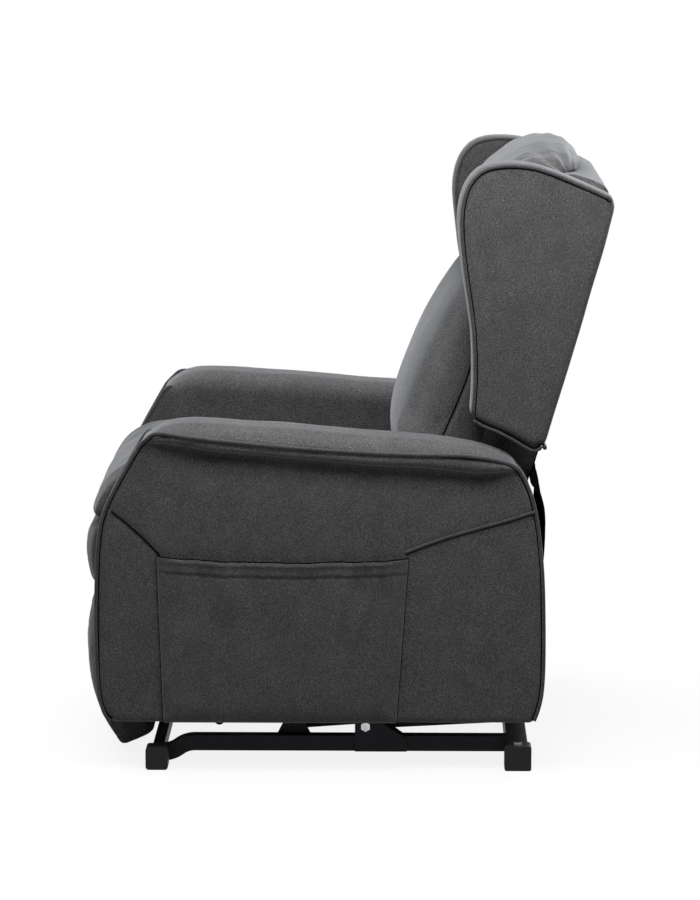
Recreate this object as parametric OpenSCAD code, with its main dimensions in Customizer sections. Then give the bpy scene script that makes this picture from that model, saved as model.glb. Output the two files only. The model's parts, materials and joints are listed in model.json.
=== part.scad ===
// Power lift recliner chair: a steel lift base, a linked footrest, a reclining back and an upholstered body.
// Millimetres. +Z is up, the sitter faces -Y, and +X is the sitter's left. The feet stand on Z = 0.

/* [Upholstery] */
// Clear width between the arms
seat_width = 524; // [500:2:560]
// Thickness of one arm
arm_width = 118; // [112:1:140]
// Width of an arm pad
pad_width = 134; // [128:1:150]
// Height of an arm pad over its underside, at the middle
pad_height = 40; // [30:1:60]
// Thickness of the padded panel outside each arm
panel_depth = 28; // [20:1:34]
// Gap between the seat cushion and each arm
cushion_gap = 6; // [3:1:12]
// Thickness of a wing, across the chair
wing_width = 75; // [50:1:90]
// Length of the head pillow, across the chair
pillow_width = 490; // [380:5:500]
// Thickness of the padded cover on the back
back_cover = 28; // [16:1:32]

/* [Lift base] */
// Width of a base rail
rail_width = 25; // [20:1:30]
// Height of a base rail
rail_height = 28; // [26:1:32]
// Wall of the square and rectangular tubes
tube_wall = 2; // [1.5:0.5:3]
// Thickness of the lift arms and lift brackets
arm_plate = 8; // [6:1:9]
// Thickness of the bracket plates on the rails
rail_plate = 5; // [4:1:6]
// Radius of the lift pivots
lift_pin_r = 6; // [5:0.5:7]
// Clear space between a rail and the foot cap at its front end
front_foot_gap = 1; // [0.5:0.5:8]
// Clear space between a rail and the foot cap at its rear end
rear_foot_gap = 2; // [0.5:0.5:8]

/* [Linkages] */
// Thickness of the footrest links
link_plate = 5; // [4:0.5:5.5]
// Half width of a footrest link
link_half = 9; // [8:0.5:10]
// Radius of the footrest pins
link_pin_r = 5; // [4:0.5:6]
// Clear space between neighbouring links
link_gap = 2; // [1:0.5:2]
// Radius of the back's pivot tube
back_tube_r = 12; // [10:1:14]
// Width of the footrest board
board_width = 490; // [460:2:500]
// Thickness of the footrest board
board_depth = 12; // [9:1:15]

/* [Drives] */
// Radius of an actuator's outer tube
drive_tube_r = 19; // [16:1:20]
// Radius of an actuator's rod
drive_rod_r = 10; // [8:0.5:12]
// Radius of the crank pins
crank_pin_r = 7; // [5:0.5:8]

/* [Pocket and handset] */
// Height of the handset
handset_length = 150; // [120:1:170]
// Width of the handset
handset_width = 48; // [40:1:60]
// Thickness of the handset's case
handset_depth = 8; // [7:0.5:9]
// Travel of a button
button_travel = 1; // [0.5:0.1:1.2]

/* [Hidden] */
$fn = 48;
// Running clearance of a pin in its hole, on the radius
run_fit = 0.05;
// Gap between pieces that pass each other
soft_gap = 0.3;
// Play on the radius at the two link ends and the arm end that close a loop
loop_play = 2.2;

// Across the chair
// The arms stand clear of the seat and of the footrest's pads
pad_rim = 6;
pad_half = board_width / 2 + pad_rim;
x_in = max(seat_width / 2, pad_half + soft_gap);
x_out = x_in + arm_width;
side_width = 30;
side_out = x_in + side_width;
board_out = side_out - soft_gap;
core_out = x_out - panel_depth - soft_gap;
pad_centre = (x_in + x_out) / 2 + 4;
pad_in = pad_centre - pad_width / 2;
cushion_half = x_in - cushion_gap;
bracket_out = side_out + 6;
rear_arm_in = bracket_out + 2;
rear_arm_out = rear_arm_in + arm_plate;
front_arm_out = side_out - 2;
front_arm_in = front_arm_out - arm_plate;
rail_in = rear_arm_out + 5 + rail_plate;
rail_out = rail_in + rail_width;
front_foot_length = x_out - rail_out - front_foot_gap;
rear_foot_length = x_out - rail_out - rear_foot_gap;

// Lift pivots, as [Y, Z] at rest: arm shaft, rear arm bolt, and the chassis end of each arm
lift_shaft = [-94, 70];
lift_bolt = [35, 74];
front_arm_pin = [82, 83];
rear_arm_pin = [314, 89];
lift_boss_r = 15;
// The lift drive's crank pin swings 32 degrees to each side of upright
lift_crank = 92;
lift_swing = 32;
lift_crank_pin = lift_shaft + lift_crank * [sin(lift_swing), cos(lift_swing)];
lift_drive_z = lift_shaft[1] + lift_crank * (1 + cos(lift_swing)) / 2;

// Base, as Y and Z of its tubes
rail_z = 41;
rail_front = -272;
front_tube = [-348, 10, 20, 24];
rear_tube = [289, 5, 37, 36];
foot_wall = 5;
front_foot = [40, 41];
rear_foot = [48, 45];
drive_eye_half = 12;
drive_clevis_out = drive_eye_half + 0.3 + rail_plate;
yoke_half = 6;
// Gear case of a drive: its distance from the eye, its side and its half width; and the motor below
gear_case = [22, 56];
gear_half = 26;
motor_r = 21;
motor_end = 150;
lift_drive_eye = rear_tube[0] + rear_tube[2] / 2;
bracket_top = lift_bolt[1] + 9.5;

// Chassis, as [Y, Z] of its tubes and of the boards round the seat
side_tube_y = [-344.3, 335];
side_tube_z = [105, 145];
front_cross = [-210, 105, 30, 40];
mid_cross = [-215, 298, 30, 30];
rear_cross = [150, 196, 30, 36];
seat_board_top = 424;
seat_front_rail = [-362, -344, 345, 424.7];
seat_rear_rail = [88, 110, 336, 374.3];
seat_slope = 6.39;
spring_wire_d = 4;
function seat_line(y) = 430 - (y + 350) * tan(seat_slope);
seat_grain = [cos(seat_slope), -sin(seat_slope)];

// Back: its pivot, its plates and the drive's crank, which swings 20 degrees to each side of straight down
back_pivot = [160, 400];
back_pin_r = 8;
back_plate_out = x_in - 6;
back_plate_in = back_plate_out - 6;
back_crank = 90;
back_swing = 20;
back_crank_pin = back_pivot + back_crank * [sin(back_swing), -cos(back_swing)];
recline_drive_x = -80;
recline_drive_z = back_pivot[1] - back_crank * (1 + cos(back_swing)) / 2;
recline_drive_eye = -165;

// Footrest pivots at rest: the crank turns on foot_pivot and carries the knee link at knee, the guide link
// turns on guide_pivot and holds the knee link at guide_end, and the board link runs from guide_knee
foot_pivot = [-302, 272];
guide_pivot = [-318, 320];
knee = [-232, 60];
guide_end = [-246, 101];
guide_knee = [-232, 106];
board_pivot = [-375, 248];
board_guide = [-374, 296];
crank_tube = [-235, 157];
function crank_axis(s) = foot_pivot + s * (knee - foot_pivot) / norm(knee - foot_pivot);
link_plate_in = x_in - link_plate;
// Inner face of link plane k, counted inwards from the chassis plate
function layer(k) = link_plate_in - (k + 1) * (link_plate + link_gap);
// The crank pin swings 49.2 degrees to each side of straight down
foot_crank = 70;
foot_swing = 49.2;
foot_crank_pin = foot_pivot + foot_crank * [sin(foot_swing), -cos(foot_swing)];
footrest_drive_x = 80;
footrest_drive_z = foot_pivot[1] - foot_crank * (1 + cos(foot_swing)) / 2;
footrest_drive_eye = 130;
board_y = -386;
board_z = [62, 424];

// Arms: the underside of the pads, and the front and rear edges from the bottom up
function pad_line(y) = 594 - (y + 330) * 0.0774;
pad_grain = [cos(4.426), -sin(4.426)];
arm_bottom = 86;
arm_front = curve([[-410, arm_bottom], [-424, 93], [-434, 112], [-441, 150], [-444, 240], [-443, 320],
    [-438, 415], [-425, 474], [-388, 545], [-358, pad_line(-358)]]);
arm_rear = curve([[333, arm_bottom], [343, 112], [350, 150], [352, 220], [350, 330], [345, 400], [338, 455],
    [327, 502], [312, 535]]);
arm_shape = concat([for (i = [len(arm_front) - 1:-1:0]) arm_front[i]], arm_rear, [[300, pad_line(300)]]);
pad_shape = [for (q = curve([[-357, 0], [-345, 0.3], [-332, 0.57], [-312, 0.84], [-272, 1.04], [-185, 1.1],
    [-82, 1.13], [42, 1.1], [145, 1.12], [221, 0.99], [262, 0.75], [290, 0.4], [302, 0]], 2))
    [q[0], pad_line(q[0]) + soft_gap + pad_height * q[1]]];
pocket = [[-325, 88], [90, 88], [111, 386], [-335, 389]];
pocket_sag = 8;
pocket_depth = 12;
pocket_round = 40;
pocket_sheet = 2.2;
handset_at = [-150, 107];
button_at = [for (z = [118, 90], y = [14, 34]) [y, z]];
button_r = 6;
rear_panel_y = side_tube_y[1] + soft_gap;
rear_panel_top = 305;
rear_panel_depth = 6;
flap_sheet = 5;
flap = curve([[rear_panel_y + rear_panel_depth, rear_panel_top + soft_gap], [350, 327], [356, 362], [358, 410],
    [355, 460], [346, 498], [333, 512]], 2);

// Seat, footrest and back: outlines as [Y, Z]
seat_shape = concat([[-366, 431.8], [92, seat_line(92) + soft_gap]], curve([[92, seat_line(92) + soft_gap], [100, 394],
    [101, 470], [90, 500], [56, 511], [-60, 520], [-200, 529], [-330, 538], [-374, 540], [-400, 533],
    [-425, 516], [-443, 492], [-455, 466], [-461, 448], [-457, 437], [-438, 432.3]], 2));
board_front = board_y - board_depth - soft_gap;
upper_pad = concat([[board_front, 304], [board_front, 427]], curve([[-450, 427], [-466, 418], [-471, 399],
    [-474, 375], [-472, 352], [-468, 329], [-463, 314], [-455, 305]], 2));
lower_pad = concat([[board_front, 54.5], [board_front, 302]], curve([[-452, 302], [-461, 290], [-463, 262],
    [-470, 229], [-471, 165], [-462, 112], [-448, 68], [-434, 37], [-417, 12], [-409, 8], [-396, 12],
    [-362, 26], [-352, 39], [-356, 52], [-370, 54.5]], 2));
back_tilt = 15.7;
back_foot = [353, 588];
back_grain = [sin(back_tilt), cos(back_tilt)];
// A point v in front of the back's rear face and u up along it
function on_slope(v, u) = back_foot + u * back_grain + v * [-cos(back_tilt), sin(back_tilt)];
post_front = 78;
wing_out = x_in + wing_width;
cover_shape = concat([on_slope(back_cover, -14)], curve([for (q = [[10, -15], [2, -8], [-1, 10], [-4, 150],
    [-4, 300], [-1, 425], [3, 440], [12, 449], [40, 458], [62, 462]]) on_slope(q[0], q[1])], 2),
    [on_slope(62, 442), on_slope(back_cover, 442)]);
wing_shape = concat(curve([[220, 640], [224, 700], [221, 788], [208, 880], [200, 950], [200, 1000], [211, 1042],
    [233, 1069], [262, 1080], [300, 1082], [340, 1076], [389, 1058], [430, 1040], [466, 1024]], 2),
    curve([for (q = [[0, 436], [-2, 420], [-3, 300], [-3, 150], [-1, 6], [3, -8], [12, -13]])
        on_slope(q[0], q[1])], 2), curve([[322, 581], [284, 601], [247, 616], [228, 626]], 2));
saddle = curve([[204, 861], [226, 885], [240, 915], [246, 950], [262, 1000], [300, 1034], [345, 1042]], 4);
cushion_shape = concat(curve([[245, 519], [130, 516], [98, 520], [83, 545], [80, 592], [93, 652], [125, 733],
    [169, 812], [203, 860]], 2), saddle, [[380, 1034], on_slope(post_front + soft_gap, 430),
    on_slope(post_front + soft_gap, -86)]);
// The pillow lies on the saddle from this point of it on, and `pillow_top` has a point over each of them
pillow_seat = [for (i = [4:len(saddle) - 1]) saddle[i] + [-1, 1.2]];
pillow_top = curve([[219, 884], [209, 905], [207, 945], [219, 992], [243, 1035], [274, 1069], [310, 1097],
    [350, 1110], [388, 1107], [413, 1088], [423, 1062]], 2);

// ---- shapes used by several pieces ----

// Extrudes a [Y, Z] outline from x0 to x1
module side(x0, x1) {
    translate([x0, 0, 0]) rotate([90, 0, 90]) linear_extrude(x1 - x0) children();
}

// A round bar along X through the point p = [Y, Z]
module pin(p, r, x0, x1) {
    translate([x0, p[0], p[1]]) rotate([0, 90, 0]) cylinder(r = r, h = x1 - x0);
}

// A round bar along Y
module bar_y(x, z, r, y0, y1) {
    translate([x, y1, z]) rotate([90, 0, 0]) cylinder(r = r, h = y1 - y0);
}

module box(low, high) {
    translate(low) cube(high - low);
}

module both() {
    children();
    mirror([1, 0, 0]) children();
}

module disc(p, r) {
    translate(p) circle(r);
}

// A flat link with round ends about a and b: its bar is a little narrower than its ends
module link(a, b, w) {
    run = b - a;
    half = w - 0.3;
    disc(a, w);
    disc(b, w);
    translate(a) rotate(atan2(run[1], run[0])) translate([0, -half]) square([norm(run), 2 * half]);
}

module round_rect(size, r) {
    translate([r, 0]) square([size[0] - 2 * r, size[1]]);
    translate([0, r]) square([size[0], size[1] - 2 * r]);
    for (x = [r, size[0] - r], y = [r, size[1] - r]) disc([x, y], r);
}

module tube_section(w, h) {
    difference() {
        square([w, h]);
        translate([tube_wall, tube_wall]) square([w - 2 * tube_wall, h - 2 * tube_wall]);
    }
}

// One span of a smooth curve through points, and a curve made of such spans
function span(a, b, c, d, t) =
    0.5 * (2 * b + (c - a) * t + (2 * a - 5 * b + 4 * c - d) * t * t + (3 * b - a - 3 * c + d) * t * t * t);
function curve(p, n = 3) = let (last = len(p) - 1)
    [for (i = [0:last - 1], k = [0:n - 1])
        span(p[max(i - 1, 0)], p[i], p[i + 1], p[min(i + 2, last)], k / n), p[last]];
function ccw(p) = let (m = len(p), area = [for (i = [0:m - 1]) let (q = p[(i + 1) % m]) p[i][0] * q[1] - q[0] * p[i][1]])
    area * [for (a = area) 1] > 0 ? p : [for (i = [m - 1:-1:0]) p[i]];
function mean(p) = [for (k = [0, 1]) let (v = [for (q = p) q[k]]) (max(v) + min(v)) / 2];

// Upholstery: the [Y, Z] outline `shape`, counter-clockwise, carried across the stations [x, depth, inset].
// `depth` scales the outline's distance from the line through `seam` along `grain`, and `inset` draws
// in both of its ends along that line.
function drawn(shape, seam, grain, depth, inset) =
    let (across = [-grain[1], grain[0]], u = [for (q = shape) (q - seam) * grain],
        mid = (max(u) + min(u)) / 2, half = (max(u) - min(u)) / 2)
    [for (q = shape) seam + grain * (mid + ((q - seam) * grain - mid) * (1 - inset / half))
        + across * ((q - seam) * across) * depth];
module padded(shape, seam, grain, stations)
    skin([for (s = stations) s[0]], [for (s = stations) drawn(shape, seam, grain, s[1], s[2])]);

// A closed skin through outlines of as many [Y, Z] points, at the places x
module skin(x, rings) {
    n = len(rings[0]);
    m = len(rings);
    hubs = [mean(rings[0]), mean(rings[m - 1])];
    points = [for (k = [0:m - 1], q = rings[k]) [x[k], q[0], q[1]],
        [x[0], hubs[0][0], hubs[0][1]], [x[m - 1], hubs[1][0], hubs[1][1]]];
    sides = [for (k = [0:m - 2], i = [0:n - 1]) let (a = k * n + i, b = k * n + (i + 1) % n)
        each [[a, a + n, b + n], [a, b + n, b]]];
    caps = [for (i = [0:n - 1]) let (j = (i + 1) % n)
        each [[m * n, i, j], [m * n + 1, (m - 1) * n + j, (m - 1) * n + i]]];
    polyhedron(points, concat(sides, caps), convexity = 6);
}

// Stations of a cushion between -half and half: drawn in at its ends and crowned at the middle
function crowned(half, crown, tuck, edge) = let (s = [-1, -0.97, -0.86, -0.5, 0, 0.5, 0.86, 0.97, 1])
    [for (k = s) let (e = max(abs(k) - 0.86, 0) / 0.14)
        [k * half, (1 - crown * k * k) * (1 - (1 - tuck) * e * e), edge * e * e]];

// ---- base ----

module base_rails() color("#26282c") both() {
    run = rail_front - front_tube[0] - front_tube[2];
    drop = rail_z - front_tube[1] - front_tube[3] / 2;
    turn = 2 * atan(drop / run);
    bend = run / (2 * sin(turn));
    translate([rail_in, rear_tube[0], rail_z - rail_height / 2]) rotate([90, 0, 0])
        linear_extrude(rear_tube[0] - rail_front) tube_section(rail_width, rail_height);
    for (k = [0, 1]) {
        centre = [rail_front, rail_z - bend] + k * 2 * bend * [-sin(turn), cos(turn)];
        translate([rail_in, centre[0], centre[1]]) rotate([90, 0, 90]) rotate(k == 0 ? 90 : -90)
            rotate_extrude(angle = turn) translate([bend - rail_height / 2, 0])
                tube_section(rail_height, rail_width);
    }
}

module cross_tube(size, half) {
    side(-half, half) translate([size[0], size[1]]) tube_section(size[2], size[3]);
}

module front_cross_tube() color("#26282c") cross_tube(front_tube, x_out - foot_wall);

module rear_cross_tube() color("#26282c") {
    cross_tube(rear_tube, x_out - foot_wall);
    // Clevis of the lift drive
    top = rear_tube[1] + rear_tube[3];
    eye = [lift_drive_eye, lift_drive_z];
    both() side(drive_eye_half + soft_gap, drive_clevis_out) difference() {
        union() {
            disc(eye, 2 * crank_pin_r);
            polygon([[rear_tube[0], top], [rear_tube[0] + rear_tube[2], top],
                eye + [2 * crank_pin_r, 0], eye - [2 * crank_pin_r, 0]]);
        }
        disc(eye, crank_pin_r + run_fit);
    }
}

// A cap of size `foot` = [depth, height] over the end of a cross tube
module foot_cap(tube, foot, length, corner) difference() {
    side(x_out - length, x_out) translate([tube[0] + (tube[2] - foot[0]) / 2, 0]) round_rect(foot, corner);
    side(x_out - length - 1, x_out - foot_wall) translate([tube[0], tube[1]]) square([tube[2], tube[3]]);
}

module front_feet() color("#17181a") both() foot_cap(front_tube, front_foot, front_foot_length, 6);

module rear_feet() color("#17181a") both() difference() {
    foot_cap(rear_tube, rear_foot, rear_foot_length, 4);
    translate([x_out - rear_foot_length / 2, rear_tube[0] + rear_tube[2] / 2, rear_tube[1] + rear_tube[3] - 1])
        cylinder(r = 4, h = 10);
}

// Plates that stand on the rails and hold the shaft and the bolts of the lift arms
module rail_brackets() color("#2b2d31") both() {
    low = rail_z - rail_height / 2;
    for (x = [rail_in - rail_plate, rail_out]) side(x, x + rail_plate) difference() {
        polygon([[16, low], [109, low], [109, rail_z + 8], [60, bracket_top], [20, bracket_top], [16, bracket_top - 5]]);
        disc(lift_bolt, lift_pin_r);
    }
    side(rail_in - rail_plate, rail_in) difference() {
        polygon([[lift_shaft[0] - 32, low], [lift_shaft[0] + 32, low], [lift_shaft[0] + 32, rail_z + 8],
            [lift_shaft[0] + 14, bracket_top], [lift_shaft[0] - 14, bracket_top], [lift_shaft[0] - 32, rail_z + 8]]);
        disc(lift_shaft, lift_pin_r);
    }
}

module lift_shaft_bar() color("#8d9196") {
    pin(lift_shaft, lift_pin_r, -rail_in, rail_in);
    both() pin(lift_shaft, 11, front_arm_out + soft_gap, rail_in - rail_plate);
}

module hex_head(p, r, x0, x1) {
    translate([x0, p[0], p[1]]) rotate([0, 90, 0]) cylinder(r = r, h = x1 - x0, $fn = 6);
}

// Bolts of the rear lift arms, with their spacers and nuts, and the bolts on the rear foot caps
module base_bolts() color("#b9bcc0") both() {
    pin(lift_bolt, lift_pin_r, rear_arm_in - 9, rail_out + rail_plate);
    pin(lift_bolt, 10, rear_arm_out + soft_gap, rail_in - rail_plate);
    hex_head(lift_bolt, 9, rail_out + rail_plate, rail_out + rail_plate + 7);
    hex_head(lift_bolt, 9, rear_arm_in - 8, rear_arm_in - soft_gap);
    translate([x_out - rear_foot_length / 2, rear_tube[0] + rear_tube[2] / 2, rear_tube[1] + rear_tube[3]]) {
        cylinder(r = 4, h = 4);
        translate([0, 0, 4]) cylinder(r = 8, h = 4, $fn = 6);
    }
}

// ---- lift arms ----

module front_lift_arms() color("#2b2d31") difference() {
    union() {
        both() side(front_arm_in, front_arm_out) link(lift_shaft, front_arm_pin, lift_boss_r);
        pin(lift_shaft, lift_boss_r, -front_arm_in, front_arm_in);
        both() side(yoke_half + 1, yoke_half + 9) link(lift_shaft, lift_crank_pin, lift_boss_r);
        pin(lift_crank_pin, crank_pin_r, -yoke_half - 9, yoke_half + 9);
    }
    pin(lift_shaft, lift_pin_r + run_fit, -front_arm_out - 1, front_arm_out + 1);
    both() pin(front_arm_pin, lift_pin_r + run_fit, front_arm_in - 1, front_arm_out + 1);
}

module rear_lift_arm(s) color("#2b2d31") scale([s, 1, 1]) side(rear_arm_in, rear_arm_out) difference() {
    link(lift_bolt, rear_arm_pin, lift_boss_r);
    disc(lift_bolt, lift_pin_r + run_fit);
    disc(rear_arm_pin, lift_pin_r + loop_play);
}

module rear_lift_arm_right() rear_lift_arm(-1);
module rear_lift_arm_left() rear_lift_arm(1);

// ---- drives: an outer tube with a gear case, a motor and an eye, and a rod with a slotted yoke ----

// The case lies along Y at [x, z], from its eye to its mouth
module drive_case(x, z, eye, mouth) {
    reach = abs(eye - mouth);
    gear_end = gear_case[0] + gear_case[1];
    translate([x, eye, z]) mirror([0, mouth < eye ? 0 : 1, 0]) {
        difference() {
            union() {
                bar_y(0, 0, drive_tube_r, -reach, 2 - gear_end);
                side(-gear_half, gear_half) translate([-gear_end, -gear_case[1] / 2 - 2])
                    round_rect([gear_case[1], gear_case[1]], 8);
                bar_y(0, -drive_tube_r - motor_r - 3, motor_r, -motor_end, 8 - gear_end);
                side(-drive_eye_half, drive_eye_half) link([-gear_case[0] - 8, 0], [0, 0], 2 * crank_pin_r);
            }
            bar_y(0, 0, drive_rod_r + run_fit, -reach - 1, -gear_end - 4);
            pin([0, 0], crank_pin_r + run_fit, -gear_half, gear_half);
        }
        pin([0, 0], crank_pin_r, -drive_clevis_out - 2, drive_clevis_out + 2);
    }
}

// Two plates from the face at y = from to the eye of a drive
module drive_clevis(x, z, from, eye) {
    for (s = [-1, 1]) translate([x, 0, z])
        side(s > 0 ? drive_eye_half + soft_gap : -drive_clevis_out, s > 0 ? drive_clevis_out : -drive_eye_half - soft_gap)
            difference() {
                union() {
                    disc([eye, 0], 2 * crank_pin_r);
                    translate([min(from, eye), -2 * crank_pin_r]) square([abs(from - eye), 4 * crank_pin_r]);
                }
                disc([eye, 0], crank_pin_r + run_fit);
            }
}

// The rod ends in a yoke with an upright slot, in which the crank pin at y = at rises by `rise`
module drive_rod(x, z, at, tail, rise, play) {
    way = tail > at ? 1 : -1;
    slot = [crank_pin_r + play, crank_pin_r + rise + 1];
    yoke = slot + [9, 9];
    neck = yoke[0] + 14;
    translate([x, at, z]) mirror([0, way > 0 ? 0 : 1, 0]) {
        side(-yoke_half, yoke_half) difference() {
            union() {
                translate(-yoke) round_rect(2 * yoke, 6);
                translate([0, -drive_rod_r + 1]) square([neck, 2 * drive_rod_r - 2]);
            }
            translate(-slot) square(2 * slot);
        }
        bar_y(0, 0, drive_rod_r, neck, abs(tail - at));
    }
}

module lift_drive_case() color("#3a3c40") drive_case(0, lift_drive_z, lift_drive_eye, lift_crank_pin[0] + 42);
module lift_drive_rod() color("#a9acb0")
    drive_rod(0, lift_drive_z, lift_crank_pin[0], lift_drive_eye - 95,
        lift_crank * (1 - cos(lift_swing)) / 2, 1.4);

// ---- chassis ----

module chassis_side_tubes() color("#2b2d31") both() {
    translate([x_in, side_tube_y[1], side_tube_z[0]]) rotate([90, 0, 0])
        linear_extrude(side_tube_y[1] - side_tube_y[0]) tube_section(side_width, side_tube_z[1] - side_tube_z[0]);
    // Hanging brackets with the pins of the lift arms
    for (p = [front_arm_pin, rear_arm_pin]) side(side_out, bracket_out) {
        disc(p, lift_boss_r);
        translate([p[0] - lift_boss_r, p[1]]) square([2 * lift_boss_r, side_tube_z[1] - p[1]]);
    }
    pin(front_arm_pin, lift_pin_r, front_arm_in - 4, side_out);
    pin(front_arm_pin, lift_pin_r + 4, front_arm_in - 4, front_arm_in - soft_gap);
    pin(rear_arm_pin, lift_pin_r, bracket_out, rear_arm_out + 4);
    pin(rear_arm_pin, lift_pin_r + 5, rear_arm_out + soft_gap, rear_arm_out + 4);
}

// Tubes across the chassis, with the clevises of the two drives it carries
module chassis_cross_tubes() color("#2b2d31") {
    for (t = [front_cross, mid_cross, rear_cross]) cross_tube(t, x_in);
    drive_clevis(recline_drive_x, recline_drive_z, mid_cross[0] + mid_cross[2], recline_drive_eye);
    drive_clevis(footrest_drive_x, footrest_drive_z, rear_cross[0], footrest_drive_eye);
}

// Boards at the sides of the seat
module seat_side_boards() color("#8a6a45") both() side(x_in, board_out) difference() {
    translate([side_tube_y[0], side_tube_z[1]]) square([side_tube_y[1] - side_tube_y[0], seat_board_top - side_tube_z[1]]);
    disc(back_pivot, back_pin_r + run_fit);
}

module seat_rails() color("#8a6a45") {
    box([-x_in, seat_front_rail[0], seat_front_rail[2]], [x_in, seat_front_rail[1], seat_front_rail[3]]);
    box([-x_in, seat_rear_rail[0], seat_rear_rail[2]], [x_in, seat_rear_rail[1], seat_rear_rail[3]]);
}

// One sinuous spring: half rings joined by short bars, bent from one wire
module spring_wire(length, half, pitch, wire) {
    turns = floor(length / pitch);
    for (k = [0:turns - 1]) translate([0, k * pitch]) {
        translate([0, 0]) square([2 * half - pitch, wire], center = true);
        s = k % 2 == 0 ? 1 : -1;
        translate([s * (half - pitch / 2), pitch / 2]) difference() {
            circle((pitch + wire) / 2, $fn = 24);
            circle((pitch - wire) / 2, $fn = 24);
            translate([s > 0 ? -pitch : 0, -pitch]) square([pitch, 2 * pitch]);
        }
    }
    translate([0, turns * pitch]) square([2 * half - pitch, wire], center = true);
}

module seat_springs() color("#9a9da1") {
    start = [seat_front_rail[0] + 6, seat_rear_rail[1] - 6];
    run = (start[1] - start[0]) / cos(seat_slope);
    for (x = [-2:2]) translate([x * 92, start[0], seat_line(start[0]) - spring_wire_d - soft_gap])
        rotate([-seat_slope, 0, 0]) linear_extrude(spring_wire_d) spring_wire(run, 30, run / 20, spring_wire_d);
}

module seat_cushion() color("#3f434b") padded(seat_shape, [0, seat_line(0)], seat_grain,
    crowned(cushion_half, 0.02, 0.85, 9));

module control_box() color("#1d1e20") {
    low = mid_cross[1] - 42;
    side(60, 190) translate([mid_cross[0] - 24, low]) round_rect([84, 42 - soft_gap], 6);
}

// Bolts on which the back turns, and the plates that carry the footrest links
module back_pivot_bolts() color("#9a9da1") both() {
    pin(back_pivot, back_pin_r, back_plate_in - 16, board_out);
    pin(back_pivot, back_pin_r + 6, back_plate_out + soft_gap, x_in);
}

module link_plates() color("#3a3c40") both() {
    side(link_plate_in, x_in) difference() {
        union() {
            link(foot_pivot, guide_pivot, 20);
            translate(foot_pivot - [0, 16]) square([mid_cross[0] - foot_pivot[0] - 1, 70]);
            translate([seat_front_rail[0] + 6, guide_pivot[1]]) square([40, seat_front_rail[2] - guide_pivot[1]]);
        }
        for (x = [48, 72]) disc(foot_pivot + [x, 20], 4.2);
    }
    pin(foot_pivot, link_pin_r, layer(1) - 1.5, link_plate_in);
    pin(guide_pivot, link_pin_r, layer(3) - 1.5, link_plate_in);
    // Spacers that hold the links in their planes
    pin(foot_pivot, link_half - 1, layer(1) + link_plate + soft_gap, link_plate_in);
    pin(guide_pivot, link_half - 1, layer(3) + link_plate + soft_gap, link_plate_in);
}

// ---- footrest linkage ----

// A link in plane k, with a hole at each point of `holes`, given as [point, radius]
module leg_link(k, bars, holes) side(layer(k), layer(k) + link_plate) difference() {
    for (b = bars) link(b[0], b[1], link_half);
    for (h = holes) disc(h[0], h[1]);
}

module footrest_cranks() color("#4a4d52") {
    both() leg_link(1, [[foot_pivot, knee], [crank_tube, crank_axis(130)], [guide_knee, crank_axis(180)]],
        [[foot_pivot, link_pin_r + run_fit]]);
    pin(crank_tube, 12, -layer(1), layer(1));
    both() pin(knee, link_pin_r, layer(2) - 1.5, layer(1));
    both() pin(guide_knee, link_pin_r, layer(1) + link_plate, layer(0) + link_plate + 1);
    translate([footrest_drive_x, 0, 0]) {
        both() side(yoke_half + 1, yoke_half + 9) link(crank_tube, foot_crank_pin, 13);
        pin(foot_crank_pin, crank_pin_r, -yoke_half - 9, yoke_half + 9);
    }
}

module footrest_knee_links() color("#5a5d62") both() {
    leg_link(2, [[knee, board_pivot], [knee, guide_end]],
        [[knee, link_pin_r + run_fit], [board_pivot, link_pin_r + run_fit]]);
    pin(guide_end, link_pin_r, layer(3) - 1, layer(2));
}

module footrest_guide_links() color("#5a5d62") both() leg_link(3, [[guide_pivot, guide_end]],
    [[guide_pivot, link_pin_r + run_fit], [guide_end, link_pin_r + loop_play]]);

module footrest_board_links() color("#5a5d62") both() leg_link(0, [[guide_knee, board_guide]],
    [[guide_knee, link_pin_r + run_fit], [board_guide, link_pin_r + loop_play]]);

module footrest_board() color("#8a6a45") {
    box([-board_width / 2, board_y - board_depth, board_z[0]], [board_width / 2, board_y, board_z[1]]);
}

module footrest_brackets() color("#4a4d52") both() {
    side(layer(1), layer(1) + link_plate) difference() {
        union() {
            link(board_pivot, board_guide, link_half + 1);
            translate([board_y, board_pivot[1] - 12]) square([20, board_guide[1] - board_pivot[1] + 24]);
        }
    }
    side(layer(1) - 22, layer(1)) translate([board_y, board_pivot[1] + 12])
        square([3, board_guide[1] - board_pivot[1] + 12]);
    pin(board_pivot, link_pin_r, layer(2) - 1.5, layer(1));
    pin(board_guide, link_pin_r, layer(1) + link_plate, layer(0) + link_plate + 1);
}

module footrest_upper_pad() color("#3f434b") padded(ccw(upper_pad), [board_y - board_depth, 0], [0, 1],
    crowned(pad_half, 0.02, 0.8, 8));
module footrest_lower_pad() color("#3f434b") padded(ccw(lower_pad), [board_y - board_depth, 0], [0, 1],
    crowned(pad_half, 0.02, 0.8, 8));

module footrest_drive_case() color("#3a3c40")
    drive_case(footrest_drive_x, footrest_drive_z, footrest_drive_eye, foot_crank_pin[0] + 42);
module footrest_drive_rod() color("#a9acb0")
    drive_rod(footrest_drive_x, footrest_drive_z, foot_crank_pin[0], footrest_drive_eye - 100,
        foot_crank * (1 - cos(foot_swing)) / 2, 3.1);

module recline_drive_case() color("#3a3c40")
    drive_case(recline_drive_x, recline_drive_z, recline_drive_eye, back_crank_pin[0] - 106);
module recline_drive_rod() color("#a9acb0")
    drive_rod(recline_drive_x, recline_drive_z, back_crank_pin[0], 0, back_crank * (1 - cos(back_swing)) / 2, 0.7);

// ---- arms ----

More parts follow.
